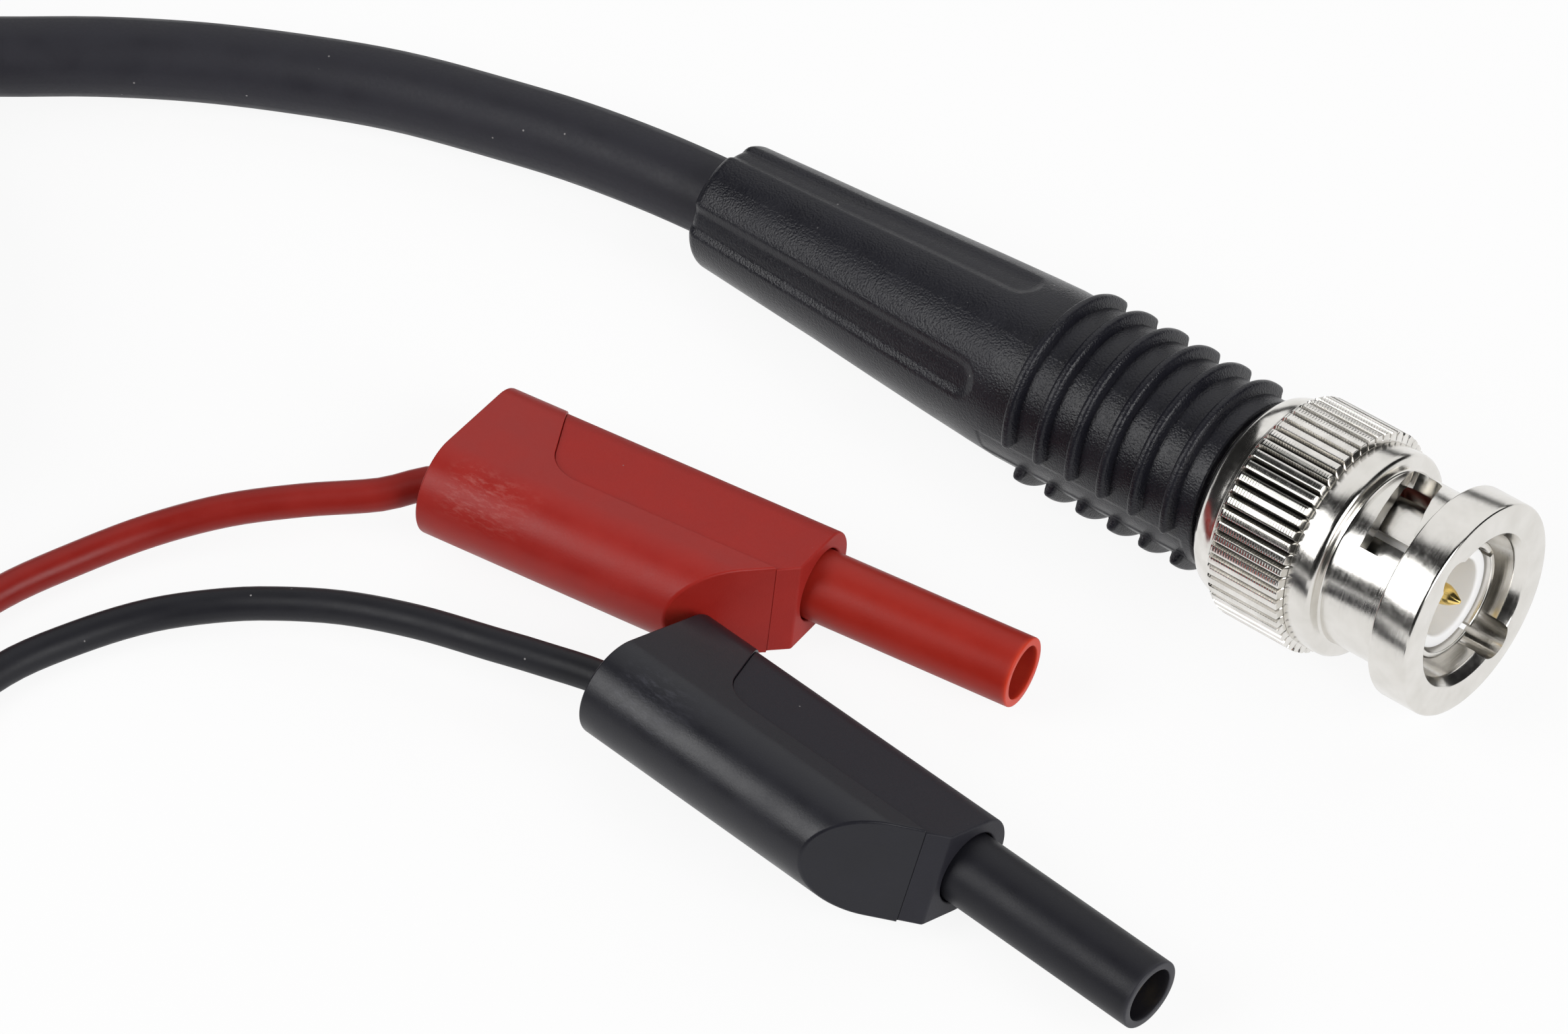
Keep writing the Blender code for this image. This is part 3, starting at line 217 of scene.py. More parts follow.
WEB_MARGIN = 0.25
# Round rooms in the body: place across, radius, front and rear
PLUG_ROOMS = {
    "mouth": (0.0, SLEEVE_OUT_R + 0.1, -CUTTER_PAST, 3.5),
    "spring_room": (0.0, 2.915, 3.3, SPRING_ROOM_REAR),
    "socket_room": (0.0, 2.615, WEB_REAR, PLUG_LENGTH + CUTTER_PAST),
    "lead_hole": (PLUG_OFFSET, 1.33, WEB_REAR, PLUG_LENGTH + CUTTER_PAST),
    "web_hole": (0.0, 1.25, SPRING_ROOM_REAR - WEB_MARGIN, WEB_REAR + WEB_MARGIN),
    "wire_room": (PLUG_OFFSET, 1.63, 10.5, WEB_REAR + 0.02),
}
LINK_ROOM = [(-1.75, -1.75), (7.25, -1.75), (7.25, 1.75), (-1.75, 1.75)]
LINK_ROOM_SPAN = (17.4, 18.8)
PLUGS = {
    "red": {"front": Vector((-5.076, -4.123, 3.4)) * MM, "roll": 11.3, "far_corner": 2.7},
    "black": {"front": Vector((16.649, -15.824, 3.4)) * MM, "roll": 22.7, "far_corner": 2.9},
}

# Cords: the same routes as the frame's solids, in millimetres
LAYOUT_CENTRE = Vector((12.61, -1.12, 0.0)) * MM
COAX_R = 2.7 * MM
LEAD_R = 1.08 * MM
CORD_GAP = 0.3 * MM
COAX_STEP = 1.5 * MM
FINE_STEP = 1.0 * MM
JACKET_END = 31.3
LEAD_START = 19.8
COAX_ROUTE = [
    (-28.7, 14.2, 4.0), (-35.9, 12.4, 3.6), (-43.0, 10.2, 3.2), (-49.3, 7.2, 3.0),
    (-55.1, 3.7, 3.0), (-60.5, -0.4, 3.1), (-65.4, -4.9, 3.3), (-72.5, -10.9, 3.5),
]
LEAD_ROUTES = {
    "red": [
        (-18.4, -17.7, 3.6), (-22.2, -20.9, 3.0), (-25.7, -24.2, 2.3), (-28.6, -28.1, 1.6),
        (-30.8, -32.8, 1.2), (-32.4, -37.9, 1.1), (-32.9, -44.0, 1.1), (-31.0, -50.5, 1.1),
        (-27.3, -56.5, 1.1), (-24.0, -63.5, 1.3), (-23.8, -71.0, 2.2), (-27.0, -77.0, 3.8),
    ],
    "black": [
        (-0.5, -22.3, 5.1), (-3.8, -23.2, 4.8), (-9.1, -24.4, 4.0), (-14.0, -26.0, 3.1),
        (-17.8, -28.0, 2.4), (-20.4, -29.8, 1.9), (-23.7, -33.2, 1.4), (-26.1, -37.4, 1.1),
        (-27.7, -42.4, 1.1), (-27.6, -48.0, 1.1), (-24.8, -54.0, 1.1), (-20.6, -60.0, 1.1),
        (-17.4, -68.0, 1.3), (-17.6, -76.0, 2.2), (-21.5, -82.0, 3.4), (-26.5, -84.0, 4.5),
    ],
}
COIL_CENTRE = Vector((-75.5, -48.0, 0.0)) * MM - LAYOUT_CENTRE
COIL_R = 33.5 * MM
COIL_STEP = 5.9 * MM
COIL_ENTRY_DEG = 122
COIL_SWEEP_DEG = 1588
COIL_LOOP_POINTS = 60
TIE_DEG = 20
TIE_REACH_DEG = 33
TIE_WIDTH = 9.0 * MM
TIE_WALL = 0.6 * MM
TIE_EDGE = 0.15
TAIL_STRAIGHT = 1.3 * MM
SPLITTER_START = 13.5 * MM
SPLITTER_HALF = 12.0 * MM
SPLITTER_HEIGHT = 9.6 * MM
SPLITTER_ENTRY = 5.75 * MM
SPLICE_SPACING = 5.2 * MM
LEAD_STRAIGHT = 3.0 * MM

# Studio: each softbox's bearing from the camera's and height in degrees, side in metres and power in watts
LAMP_DISTANCE = 0.9
LAMPS = {"key": (-74, 37, 0.55, 4.8), "back": (165, 46, 1.2, 4.4), "front": (44, 30, 0.5, 5.5)}
SKY_HEIGHTS = (0.05, 0.9)
SKY_LEVELS = (0.42, 0.1)
FLOOR_HALF = 3000
FLOOR_HEIGHT = -0.02
FLOOR_WHITE = (0.93, 0.93, 0.93)
FLOOR_ROUGH = 0.7
FLOOR_GLOW = 0.9

# Surfaces: grain as (size, depth), sizes in millimetres
FINE_GRAIN = (0.12, 0.006)
NOSE_FINISH = {"grain": (0.12, 0.012)}
LEAD_FINISH = {"grain": (0.2, 0.006)}
DUST_CELL = 0.9
DUST_COLOUR = (0.28, 0.27, 0.27)
# Span of the sleeves' painted rim light, back from the tip in millimetres
RIM_GLOW = (0.5, 0.04)
WEAVE_RATE = 9.0
SCUFF_STRETCH = (1.0, 2.2, 0.6)


# Shader helpers


def add(tree, kind, values=(), **settings):
    """A new node with its settings made and its inputs given values or linked to other outputs."""
    node = tree.nodes.new("ShaderNode" + kind)
    for key, value in settings.items():
        setattr(node, key, value)
    for key, value in dict(values).items():
        if isinstance(value, bpy.types.NodeSocket):
            tree.links.new(value, node.inputs[key])
        else:
            node.inputs[key].default_value = value
    return node


def new_material(name, **sockets):
    material = bpy.data.materials.new(name)
    material.use_nodes = True
    tree = material.node_tree
    shader = tree.nodes["Principled BSDF"]
    for key, value in sockets.items():
        shader.inputs[key.replace("_", " ")].default_value = value
    return material, tree, shader


def feed(shader, socket, value):
    shader.id_data.links.new(value, shader.inputs[socket])


def millimetres(tree):
    """The piece's own coordinates in millimetres."""
    coords = add(tree, "TexCoord").outputs["Object"]
    return add(tree, "VectorMath", {0: coords, "Scale": 1000.0}, operation="SCALE").outputs[0]


def noise(tree, coords, size, detail=2.0, roughness=0.5):
    """Noise with features of about the given size in millimetres."""
    values = {"Vector": coords, "Scale": 1.0 / size, "Detail": detail, "Roughness": roughness}
    return add(tree, "TexNoise", values).outputs["Fac"]


def spread(tree, value, low, high, to_low=0.0, to_high=1.0):
    """The value's range from low to high laid on another range, cut off at its ends."""
    values = {0: value, 1: low, 2: high, 3: to_low, 4: to_high}
    return add(tree, "MapRange", values, clamp=True).outputs[0]


def combine(tree, operation, first, second):
    return add(tree, "Math", {0: first, 1: second}, operation=operation).outputs[0]


def multiply(tree, first, second):
    return combine(tree, "MULTIPLY", first, second)


def weigh(tree, *pairs):
    """The sum of two values, each times its own weight."""
    return combine(tree, "ADD", *(multiply(tree, value, weight) for value, weight in pairs))


def waves(tree, value, rate):
    return add(tree, "Math", {0: multiply(tree, value, rate)}, operation="SINE").outputs[0]


def axes(tree, coords):
    return add(tree, "SeparateXYZ", {0: coords}).outputs


def blend_colours(tree, share, first, second):
    values = {0: share, 6: first, 7: second}
    return add(tree, "Mix", values, data_type="RGBA").outputs[2]


def bump(tree, height, distance, strength=1.0):
    values = {"Height": height, "Distance": distance * MM, "Strength": strength}
    return add(tree, "Bump", values).outputs["Normal"]


def specks(tree, coords, size, rarity):
    """Sparse small dots, at most one in each cell of the given size in millimetres."""
    cells = add(tree, "TexVoronoi", {"Vector": coords, "Scale": 1.0 / size, "Randomness": 1.0})
    near = spread(tree, cells.outputs["Distance"], 0.05, 0.09, 1.0, 0.0)
    parts = add(tree, "SeparateColor", {0: cells.outputs["Color"]})
    chosen = spread(tree, parts.outputs[0], rarity, rarity + 0.01)
    return multiply(tree, near, chosen)


def colour(red, green, blue):
    return (red, green, blue, 1.0)


# Materials


def metal(name, rough):
    """Plated metal, rougher along turning marks that follow radius and length about its own axis."""
    material, tree, shader = new_material(name, Metallic=1.0, Anisotropic=0.35)
    coords = millimetres(tree)
    x, y, along = axes(tree, coords)
    flat = add(tree, "CombineXYZ", {0: x, 1: y}).outputs[0]
    radius = add(tree, "VectorMath", {0: flat}, operation="LENGTH").outputs["Value"]
    lines = add(tree, "CombineXYZ", {0: radius, 2: along}).outputs[0]
    marks = noise(tree, lines, size=0.05, detail=3.0, roughness=0.6)
    wear = noise(tree, coords, size=0.35, detail=4.0, roughness=0.65)
    patchy = weigh(tree, (marks, 0.6), (wear, 0.4))
    feed(shader, "Roughness", spread(tree, patchy, 0.35, 0.65, *rough))
    feed(shader, "Tangent", add(tree, "Tangent", direction_type="RADIAL", axis="Z").outputs[0])
    return material, tree, shader, coords, along, radius, marks


def plating(tree, coords, size, detail, base, dark):
    """The metal's colour with clouds of a darker one."""
    share = spread(tree, noise(tree, coords, size, detail), 0.35, 0.7)
    return blend_colours(tree, share, colour(*base), colour(*dark))


def turned_metal(name, base, dark, rough, depth):
    """Metal with the turning marks cut to the given depth."""
    material, tree, shader, coords, _, _, marks = metal(name, rough)
    feed(shader, "Base Color", plating(tree, coords, 2.2, 3.0, base, dark))
    feed(shader, "Normal", bump(tree, marks, depth))
    return material


def knurled_metal(name, base, dark, painted_groove_shade, rough):
    """Metal whose teeth carry the cross ripple of the knurling wheel, with painted shade near black down between
    the teeth.
    """
    material, tree, shader, coords, along, radius, _ = metal(name, rough)
    behind = spread(tree, along, -GRIP_REAR + 0.2, -GRIP_REAR + 0.5)
    ahead = spread(tree, along, -GRIP_FRONT - 0.3, -GRIP_FRONT - 0.1, 1.0, 0.0)
    grip = multiply(tree, behind, ahead)
    ripple = multiply(tree, waves(tree, along, RIPPLE_RATE), grip)
    feed(shader, "Normal", bump(tree, ripple, RIPPLE_DEPTH, strength=0.6))
    # Painted shade: the colour turns near black down in the grooves between the teeth.
    low = spread(tree, radius, KNURL_R - KNURL_DEPTH, KNURL_R - GRIP_BEVEL, 0.9, 0.0)
    plated = plating(tree, coords, 1.4, 2.0, base, dark)
    tinted = blend_colours(tree, multiply(tree, low, grip), plated, colour(*painted_groove_shade))
    feed(shader, "Base Color", tinted)
    return material


def moulded(name, base, light, rough, grain, gloss, **constants):
    """Moulded plastic or rubber with a fine grain and a cloudy colour, which isn't linked yet."""
    material, tree, shader = new_material(name, Specular_IOR_Level=gloss, **constants)
    coords = millimetres(tree)
    cloud = spread(tree, noise(tree, coords, size=3.0, detail=3.0), 0.3, 0.7)
    tinted = blend_colours(tree, cloud, colour(*base), colour(*light))
    size, depth = grain
    fine = noise(tree, coords, size, roughness=0.45)
    patchy = weigh(tree, (fine, 0.35), (cloud, 0.3))
    feed(shader, "Roughness", spread(tree, patchy, 0.1, 0.5, rough - 0.06, rough + 0.08))
    feed(shader, "Normal", bump(tree, fine, depth))
    return material, tree, shader, coords, tinted


def plastic(name, base, light, rough, grain, gloss, dust_free=0.93, **constants):
    """Moulded material with a little dust, from which a share of small cells is free."""
    material, tree, shader, coords, tinted = moulded(name, base, light, rough, grain, gloss, **constants)
    if dust_free < 1:
        dots = specks(tree, coords, DUST_CELL, dust_free)
        tinted = blend_colours(tree, dots, tinted, colour(*DUST_COLOUR))
    feed(shader, "Base Color", tinted)
    return material


def scuffed(name, base, light, scuff, rough, gloss, **constants):
    """A plug body's satin plastic, rubbed pale near its rear on the lead's side."""
    material, tree, shader, coords, tinted = moulded(name, base, light, rough, FINE_GRAIN, gloss, **constants)
    across, down, along = axes(tree, coords)
    behind = multiply(tree, spread(tree, along, -16.0, -19.5), spread(tree, along, -23.4, -22.0))
    beside = multiply(tree, spread(tree, across, 6.0, 7.2), spread(tree, down, -0.2, -1.2))
    stretched = add(tree, "VectorMath", {0: coords, 1: SCUFF_STRETCH}, operation="MULTIPLY").outputs[0]
    rubbed = spread(tree, noise(tree, stretched, size=0.5, detail=5.0, roughness=0.7), 0.47, 0.74, 0.0, 0.34)
    mask = multiply(tree, multiply(tree, behind, beside), rubbed)
    feed(shader, "Base Color", blend_colours(tree, mask, tinted, colour(*scuff)))
    return material


def tipped(name, base, light, tip, rough, gloss, **constants):
    """A sleeve's plastic with a paler rim painted at its tip: painted light through the thin rim on the red sleeve,
    a painted reflection on the black one.
    """
    material, tree, shader, coords, tinted = moulded(name, base, light, rough, FINE_GRAIN, gloss, **constants)
    along = axes(tree, coords)[2]
    # Painted light: the colour turns to the pale tip colour over the rim's last half millimetre.
    rim = spread(tree, along, SLEEVE_OUT - RIM_GLOW[0], SLEEVE_OUT - RIM_GLOW[1])
    shine = combine(tree, "POWER", rim, 2.5)
    feed(shader, "Base Color", blend_colours(tree, shine, tinted, colour(*tip)))
    return material


def woven(name, base, light):
    """A hook-and-loop band: a tight weave with a soft pile."""
    material, tree, shader = new_material(name, Roughness=0.95, Sheen_Weight=0.3)
    coords = millimetres(tree)
    x, y, _ = axes(tree, coords)
    weave = multiply(tree, waves(tree, y, WEAVE_RATE), waves(tree, x, WEAVE_RATE))
    pile = noise(tree, coords, size=0.2, detail=3.0, roughness=0.6)
    height = combine(tree, "ADD", multiply(tree, weave, 0.5), pile)
    feed(shader, "Base Color", blend_colours(tree, pile, colour(*base), colour(*light)))
    feed(shader, "Normal", bump(tree, height, 0.08))
    return material


def skins(make, kind, **rows):
    """A material for each hue from its base and light colour, roughness, gloss and the rest."""
    made = {}
    for hue, (base, light, rough, gloss, rest) in rows.items():
        made[hue] = make(f"{kind}_skin_{hue}", base, light, rough=rough, gloss=gloss, **rest)
    return made


# Metals: base and dark colour, range of roughness and depth of the turning marks
NICKEL, GOLD, BRASS, COPPER, STEEL = (
    turned_metal(*row)
    for row in (
        ("nickel_turned", (0.78, 0.76, 0.725), (0.7, 0.68, 0.64), (0.09, 0.24), 0.006),
        ("gold_plate", (0.95, 0.72, 0.27), (0.85, 0.6, 0.18), (0.12, 0.28), 0.002),
        ("bare_brass", (0.72, 0.54, 0.25), (0.6, 0.43, 0.18), (0.25, 0.42), 0.003),
        ("bare_copper", (0.74, 0.4, 0.26), (0.6, 0.3, 0.18), (0.3, 0.5), 0.004),
        ("spring_steel", (0.52, 0.52, 0.53), (0.4, 0.4, 0.41), (0.25, 0.45), 0.003),
    )
)
# The knurled nickel's third colour is painted shade for the grooves between the teeth.
NICKEL_GRIP = knurled_metal(
    "nickel_knurled", (0.82, 0.8, 0.765), (0.7, 0.68, 0.64), painted_groove_shade=(0.07, 0.066, 0.06), rough=(0.1, 0.22)
)
WHITE_DEPTH = {"Subsurface_Weight": 0.5, "Subsurface_Scale": 0.0008, "Subsurface_Radius": (1.0, 1.0, 1.0)}
RED_DEPTH = {"Subsurface_Weight": 0.12, "Subsurface_Scale": 0.0006, "Subsurface_Radius": (1.0, 0.25, 0.15)}
CLEAN = {"gloss": 0.5, "dust_free": 1.0}
PTFE = plastic(
    "white_ptfe", (0.965, 0.965, 0.97), (0.94, 0.945, 0.955), rough=0.42, grain=(0.5, 0.004), **CLEAN, **WHITE_DEPTH
)
SILICONE = plastic("red_silicone", (0.5, 0.11, 0.08), (0.42, 0.09, 0.06), rough=0.6, grain=(0.4, 0.01), **CLEAN)
BOOT = plastic(
    "boot_rubber", (0.0085, 0.0085, 0.0128), (0.013, 0.013, 0.0185), rough=0.31, grain=(0.14, 0.042), gloss=0.3
)
JACKET = plastic(
    "coax_jacket", (0.0145, 0.014, 0.0205), (0.02, 0.0195, 0.027), rough=0.55, grain=(0.25, 0.012), gloss=0.35
)
LEAD_SKIN = skins(
    plastic,
    "lead",
    red=((0.255, 0.012, 0.008), (0.295, 0.016, 0.011), 0.4, 0.24, LEAD_FINISH),
    black=((0.0085, 0.0085, 0.012), (0.0125, 0.0125, 0.0165), 0.48, 0.28, LEAD_FINISH),
)
PLUG_SKIN = skins(
    scuffed,
    "plug",
    red=((0.335, 0.017, 0.012), (0.37, 0.021, 0.015), 0.4, 0.26, {"scuff": (0.6, 0.26, 0.23), **RED_DEPTH}),
    black=((0.009, 0.009, 0.0135), (0.0125, 0.0125, 0.018), 0.36, 0.36, {"scuff": (0.1, 0.1, 0.125)}),
)
NOSE_SKIN = skins(
    plastic,
    "nose",
    red=((0.345, 0.019, 0.014), (0.38, 0.023, 0.017), 0.56, 0.26, {**NOSE_FINISH, "dust_free": 0.94, **RED_DEPTH}),
    black=((0.0135, 0.0132, 0.019), (0.018, 0.0176, 0.0245), 0.56, 0.32, NOSE_FINISH),
)
# The tip colours are painted light on the sleeves' rims, a glow on the red and a reflection on the black.
SLEEVE_SKIN = skins(
    tipped,
    "sleeve",
    red=((0.345, 0.017, 0.009), (0.38, 0.021, 0.012), 0.42, 0.24, {"tip": (0.6, 0.045, 0.018), **RED_DEPTH}),
    black=((0.008, 0.008, 0.0118), (0.0115, 0.0115, 0.0162), 0.44, 0.27, {"tip": (0.03, 0.03, 0.037)}),
)
TIE = woven("tie_band", (0.012, 0.012, 0.013), (0.035, 0.035, 0.038))
SLOT_MATERIALS = {
    "nickel": NICKEL,
    "spring_steel": STEEL,
    "gold": GOLD,
    "brass": BRASS,
    "copper": COPPER,
    "ptfe": PTFE,
    "silicone": SILICONE,
    "boot_black": BOOT,
    "cable_black": JACKET,
    "tie_black": TIE,
    **{"plug_" + hue: skin for hue, skin in PLUG_SKIN.items()},
    **{"lead_" + hue: skin for hue, skin in LEAD_SKIN.items()},
}


# Shape helpers


def new_object(name, vertices, faces):
    """A mesh object from points in millimetres, with its doubles merged and its normals outward."""
    mesh = bpy.data.meshes.new(name)
    mesh.from_pydata([Vector(point) * MM for point in vertices], [], faces)
    shape = bmesh.new()
    shape.from_mesh(mesh)
    bmesh.ops.remove_doubles(shape, verts=shape.verts, dist=0.0005 * MM)
    bmesh.ops.recalc_face_normals(shape, faces=shape.faces)
    shape.to_mesh(mesh)
    shape.free()
    made = bpy.data.objects.new(name, mesh)
    bpy.context.scene.collection.objects.link(made)
    return made


def fillet(points, steps=4):
    """A closed outline of (x, y, corner) with each corner rounded off over the given length."""
    rounded = []
    for i, (x, y, corner) in enumerate(points):
        here = Vector((x, y))
        before = Vector(points[i - 1][:2]) - here
        after = Vector(points[(i + 1) % len(points)][:2]) - here
        cut = min(corner, 0.49 * before.length, 0.49 * after.length)
        if cut <= 0:
            rounded.append((x, y))
            continue
        start = here + before.normalized() * cut
        end = here + after.normalized() * cut
        for k in range(steps + 1):
            t = k / steps
            rounded.append(tuple(start * (1 - t) ** 2 + here * (2 * t * (1 - t)) + end * t**2))
    return rounded


def lathe(name, outline, steps, relief=None):
    """A closed outline of (radius, height) turned about Z; the relief adds to the radius."""
    vertices = []
    faces = []
    count = len(outline)
    for i in range(steps):
        turn = 2 * math.pi * i / steps
        for radius, height in outline:
            out = radius + (relief(math.degrees(turn), radius, height) if relief else 0.0)
            vertices.append((out * math.cos(turn), out * math.sin(turn), height))
        here = i * count
        there = (i + 1) % steps * count
        for j in range(count):
            k = (j + 1) % count
            faces.append((here + j, there + j, there + k, here + k))
    return new_object(name, vertices, faces)


def prism(name, loop, front, rear):
    """A flat loop of (x, y) drawn out along Z between two heights."""
    count = len(loop)
    vertices = [(x, y, front) for x, y in loop] + [(x, y, rear) for x, y in loop]
    faces = [tuple(range(count)), tuple(range(2 * count - 1, count - 1, -1))]
    faces += [(i, (i + 1) % count, count + (i + 1) % count, count + i) for i in range(count)]
    return new_object(name, vertices, faces)


def arc(centre_x, centre_y, radius, start_deg, end_deg, steps):
    turns = [math.radians(start_deg + (end_deg - start_deg) * i / steps) for i in range(steps + 1)]
    return [(centre_x + radius * math.cos(t), centre_y + radius * math.sin(t)) for t in turns]


def disc(x, radius, steps=64):
    return arc(x, 0.0, radius, 0, 360, steps)[:-1]


def carve(target, tool, operation="DIFFERENCE"):
    """Cuts the tool from the target, or keeps what both share, and takes the tool away."""
    modifier = target.modifiers.new("carve", "BOOLEAN")
    modifier.operation = operation
    modifier.solver = "EXACT"
    modifier.object = tool
    bpy.context.view_layer.update()
    evaluated = target.evaluated_get(bpy.context.evaluated_depsgraph_get())
    mesh = bpy.data.meshes.new_from_object(evaluated)
    target.modifiers.clear()
    target.data = mesh
    bpy.data.objects.remove(tool, do_unlink=True)


def smooth(target, angle):
    target.data.shade_smooth()
    target.data.set_sharp_from_angle(angle=math.radians(angle))


def turned(name, points, steps, sharp, relief=None):
    """A lathed piece with its corners filleted, smooth but for the edges over the sharp angle."""
    made = lathe(name, fillet(points), steps, relief)
    smooth(made, sharp)
    return made


def round_edges(target, width, share=None):
    """Bevels the sharp edges, each by its own share of the width, and evens the shading."""
    mesh = target.data
    shape = bmesh.new()
    shape.from_mesh(mesh)
    weights = shape.edges.layers.float.new("bevel_weight_edge")
    for edge in shape.edges:
        if len(edge.link_faces) == 2 and edge.calc_face_angle() > math.radians(22):
            middle = (edge.verts[0].co + edge.verts[1].co) / (2 * MM)
            edge[weights] = share(middle) if share else 1.0
    shape.to_mesh(mesh)
    shape.free()
    mesh.shade_smooth()
    bevel = target.modifiers.new("round", "BEVEL")
    bevel.limit_method = "WEIGHT"
    bevel.width = width * MM
    bevel.segments = 3
    bevel.use_clamp_overlap = False
    target.modifiers.new("even", "WEIGHTED_NORMAL")


def settle(target, place, body, material, nodes=()):
    """Puts a finished piece in its place on a body, with its material and the nodes it stands for."""
    target.data.materials.clear()
    target.data.materials.append(material)
    target.matrix_world = place
    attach(target, body)
    if nodes:
        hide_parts(*nodes)
    return target


def axes_at(x, y, z, origin):
    matrix = Matrix((x, y, z)).transposed().to_4x4()
    matrix.translation = origin
    return matrix


def set_back(place, depth, across=0.0):
    return place @ Vector((across * MM, 0.0, -depth * MM))


# Bayonet plug


def bayonet_place():
    forward = Vector(JOINTS["nut_turn"]["axis"])
    side = Vector((0.0, 1.0, 0.0))
    return axes_at(side.cross(forward), side, forward, JOINTS["nut_turn"]["pos_m"])


def window_cutter(turn_deg):
    """A slab that follows the ramp's window round the sleeve."""
    vertices = []
    faces = []
    for degrees, front, rear in RAMP_WINDOW:
        turn = math.radians(degrees + turn_deg)
        for radius in (NUT_BORE_R - WINDOW_MARGIN, SLEEVE_R + WINDOW_MARGIN):
            for depth in (front, rear):
                vertices.append((radius * math.cos(turn), radius * math.sin(turn), -depth))
    last = len(RAMP_WINDOW) - 1
    for i in range(last):
        a = 4 * i
        b = a + 4
        faces += [(a, a + 1, b + 1, b), (a + 2, b + 2, b + 3, a + 3)]
        faces += [(a, b, b + 2, a + 2), (a + 1, a + 3, b + 3, b + 1)]
    faces += [(0, 2, 3, 1), (4 * last, 4 * last + 1, 4 * last + 3, 4 * last + 2)]
    return new_object("window_cutter", vertices, faces)


def nut_front(place):
    outline = [
        (NUT_MOUTH_R, 0.0, 0.1),
        (FLANGE_R, 0.0, 0.22),
        (FLANGE_R, -FLANGE_REAR, 0.12),
        (SLEEVE_R, -FLANGE_REAR, 0.05),
        (SLEEVE_R, -STEP_FRONT, 0.2),
        (STEP_R, -STEP_FRONT, 0.5),
        (STEP_R, -GRIP_FRONT, 0.05),
        (CHAMBER_R, -GRIP_FRONT, 0.0),
        (CHAMBER_R, -CHAMBER_FRONT, 0.0),
        (NUT_BORE_R, -CHAMBER_FRONT, 0.05),
        (NUT_BORE_R, -NUT_MOUTH_REAR, 0.1),
    ]
    nut = lathe("nut_front", fillet(outline), steps=144)
    for turn in (0, 180):
        carve(nut, window_cutter(turn))
        entry = math.radians(RAMP_ENTRY_DEG + turn)
        loop = disc(NUT_BORE_R, RAMP_HALF_WIDTH, steps=40)
        channel = prism("entry_channel", loop, CUTTER_PAST, -RAMP_ENTRY_REAR)
        channel.data.transform(Matrix.Rotation(entry, 4, "Z"))
        carve(nut, channel)
    smooth(nut, 32)
    settle(nut, place, "nut", NICKEL, ["coupling_nut"])


def tooth_relief(degrees, radius, height):
    """Straight V teeth round the grip: the radius never passes the tooth's own."""
    if height > -GRIP_FRONT or height < -GRIP_REAR or radius < KNURL_R - KNURL_DEPTH:
        return 0.0
    phase = degrees * KNURL_TEETH / 360 % 1.0
    away = abs(phase - 0.5) * 2
    tooth = KNURL_R - KNURL_DEPTH * max(0.0, (away - KNURL_FLAT) / (1 - KNURL_FLAT))
    return min(0.0, tooth - radius)


def nut_grip(place):
    neck = [(GRIP_CORE_R - inward, -GRIP_REAR - back, corner) for inward, back, corner in NECK]
    outline = [
        (CHAMBER_R, -GRIP_FRONT - GRIP_GAP, 0.0),
        (GRIP_CORE_R, -GRIP_FRONT - GRIP_GAP, 0.0),
        (KNURL_R, -GRIP_FRONT - GRIP_BEVEL, 0.06),
        (KNURL_R, -GRIP_REAR + GRIP_RUN_OUT, 0.2),
        (GRIP_CORE_R, -GRIP_REAR, 0.08),
        *neck,
        (NUT_REAR_R, -NUT_REAR, 0.25),
        (NUT_REAR_R - NUT_REAR_WALL, -NUT_REAR, 0.05),
        (NUT_REAR_R - NUT_REAR_WALL, -CHAMBER_REAR, 0.0),
        (CHAMBER_R, -CHAMBER_REAR, 0.0),
    ]
    grip = turned("nut_grip", outline, 10 * KNURL_TEETH, sharp=35, relief=tooth_relief)
    settle(grip, place, "nut", NICKEL_GRIP, ["coupling_nut"])


def contact_body(place):
    outline = [
        (CONTACT_BORE_R, -CONTACT_FRONT, 0.08),
        (CONTACT_R, -CONTACT_FRONT, 0.2),
        (CONTACT_R, -GASKET_SEAT_FRONT, 0.05),
        (GASKET_SEAT_R, -GASKET_SEAT_FRONT, 0.05),
        (GASKET_SEAT_R, -SHOULDER_FRONT, 0.05),
        (SHOULDER_R, -SHOULDER_FRONT, 0.05),
        (SHOULDER_R, -SHOULDER_REAR, 0.05),
        (BODY_R, -SHOULDER_REAR, 0.05),
        (BODY_R, -CLIP_GROOVE[0], 0.0),
        (CLIP_SEAT_R, -CLIP_GROOVE[0], 0.0),
        (CLIP_SEAT_R, -CLIP_GROOVE[1], 0.0),
        (BODY_R, -CLIP_GROOVE[1], 0.0),
        (BODY_R, -BODY_REAR, 0.05),
        (BODY_BORE_R, -BODY_REAR, 0.0),
        (BODY_BORE_R, -BODY_BORE_FRONT, 0.0),
        (CONTACT_BORE_R, -BODY_BORE_FRONT, 0.0),
    ]
    body = lathe("contact_body", fillet(outline), steps=128)
    half = CONTACT_SLOT / 2
    reach = CONTACT_R + 0.5
    loop = [(-reach, -half), (reach, -half), (reach, half), (-reach, half)]
    for degrees in CONTACT_SLOT_DEG:
        slot = prism("slot", loop, 0.0, -CONTACT_SLOT_REAR)
        slot.data.transform(Matrix.Rotation(math.radians(degrees), 4, "Z"))
        carve(body, slot)
    smooth(body, 32)
    settle(body, place, "root", NICKEL, ["bayonet_body"])


def insulator(place):
    outline = [
        (INSULATOR_BORE_R, -INSULATOR_FRONT, 0.2),
        (INSULATOR_R, -INSULATOR_FRONT, 0.12),
        (INSULATOR_R, -INSULATOR_REAR, 0.1),
        (PIN_ROOM_R, -INSULATOR_REAR, 0.0),
        (PIN_ROOM_R, -INSULATOR_FLOOR, 0.05),
        (INSULATOR_BORE_R, -INSULATOR_FLOOR, 0.3),
    ]
    made = turned("insulator_ring", outline, steps=96, sharp=40)
    settle(made, place, "root", PTFE, ["insulator"])


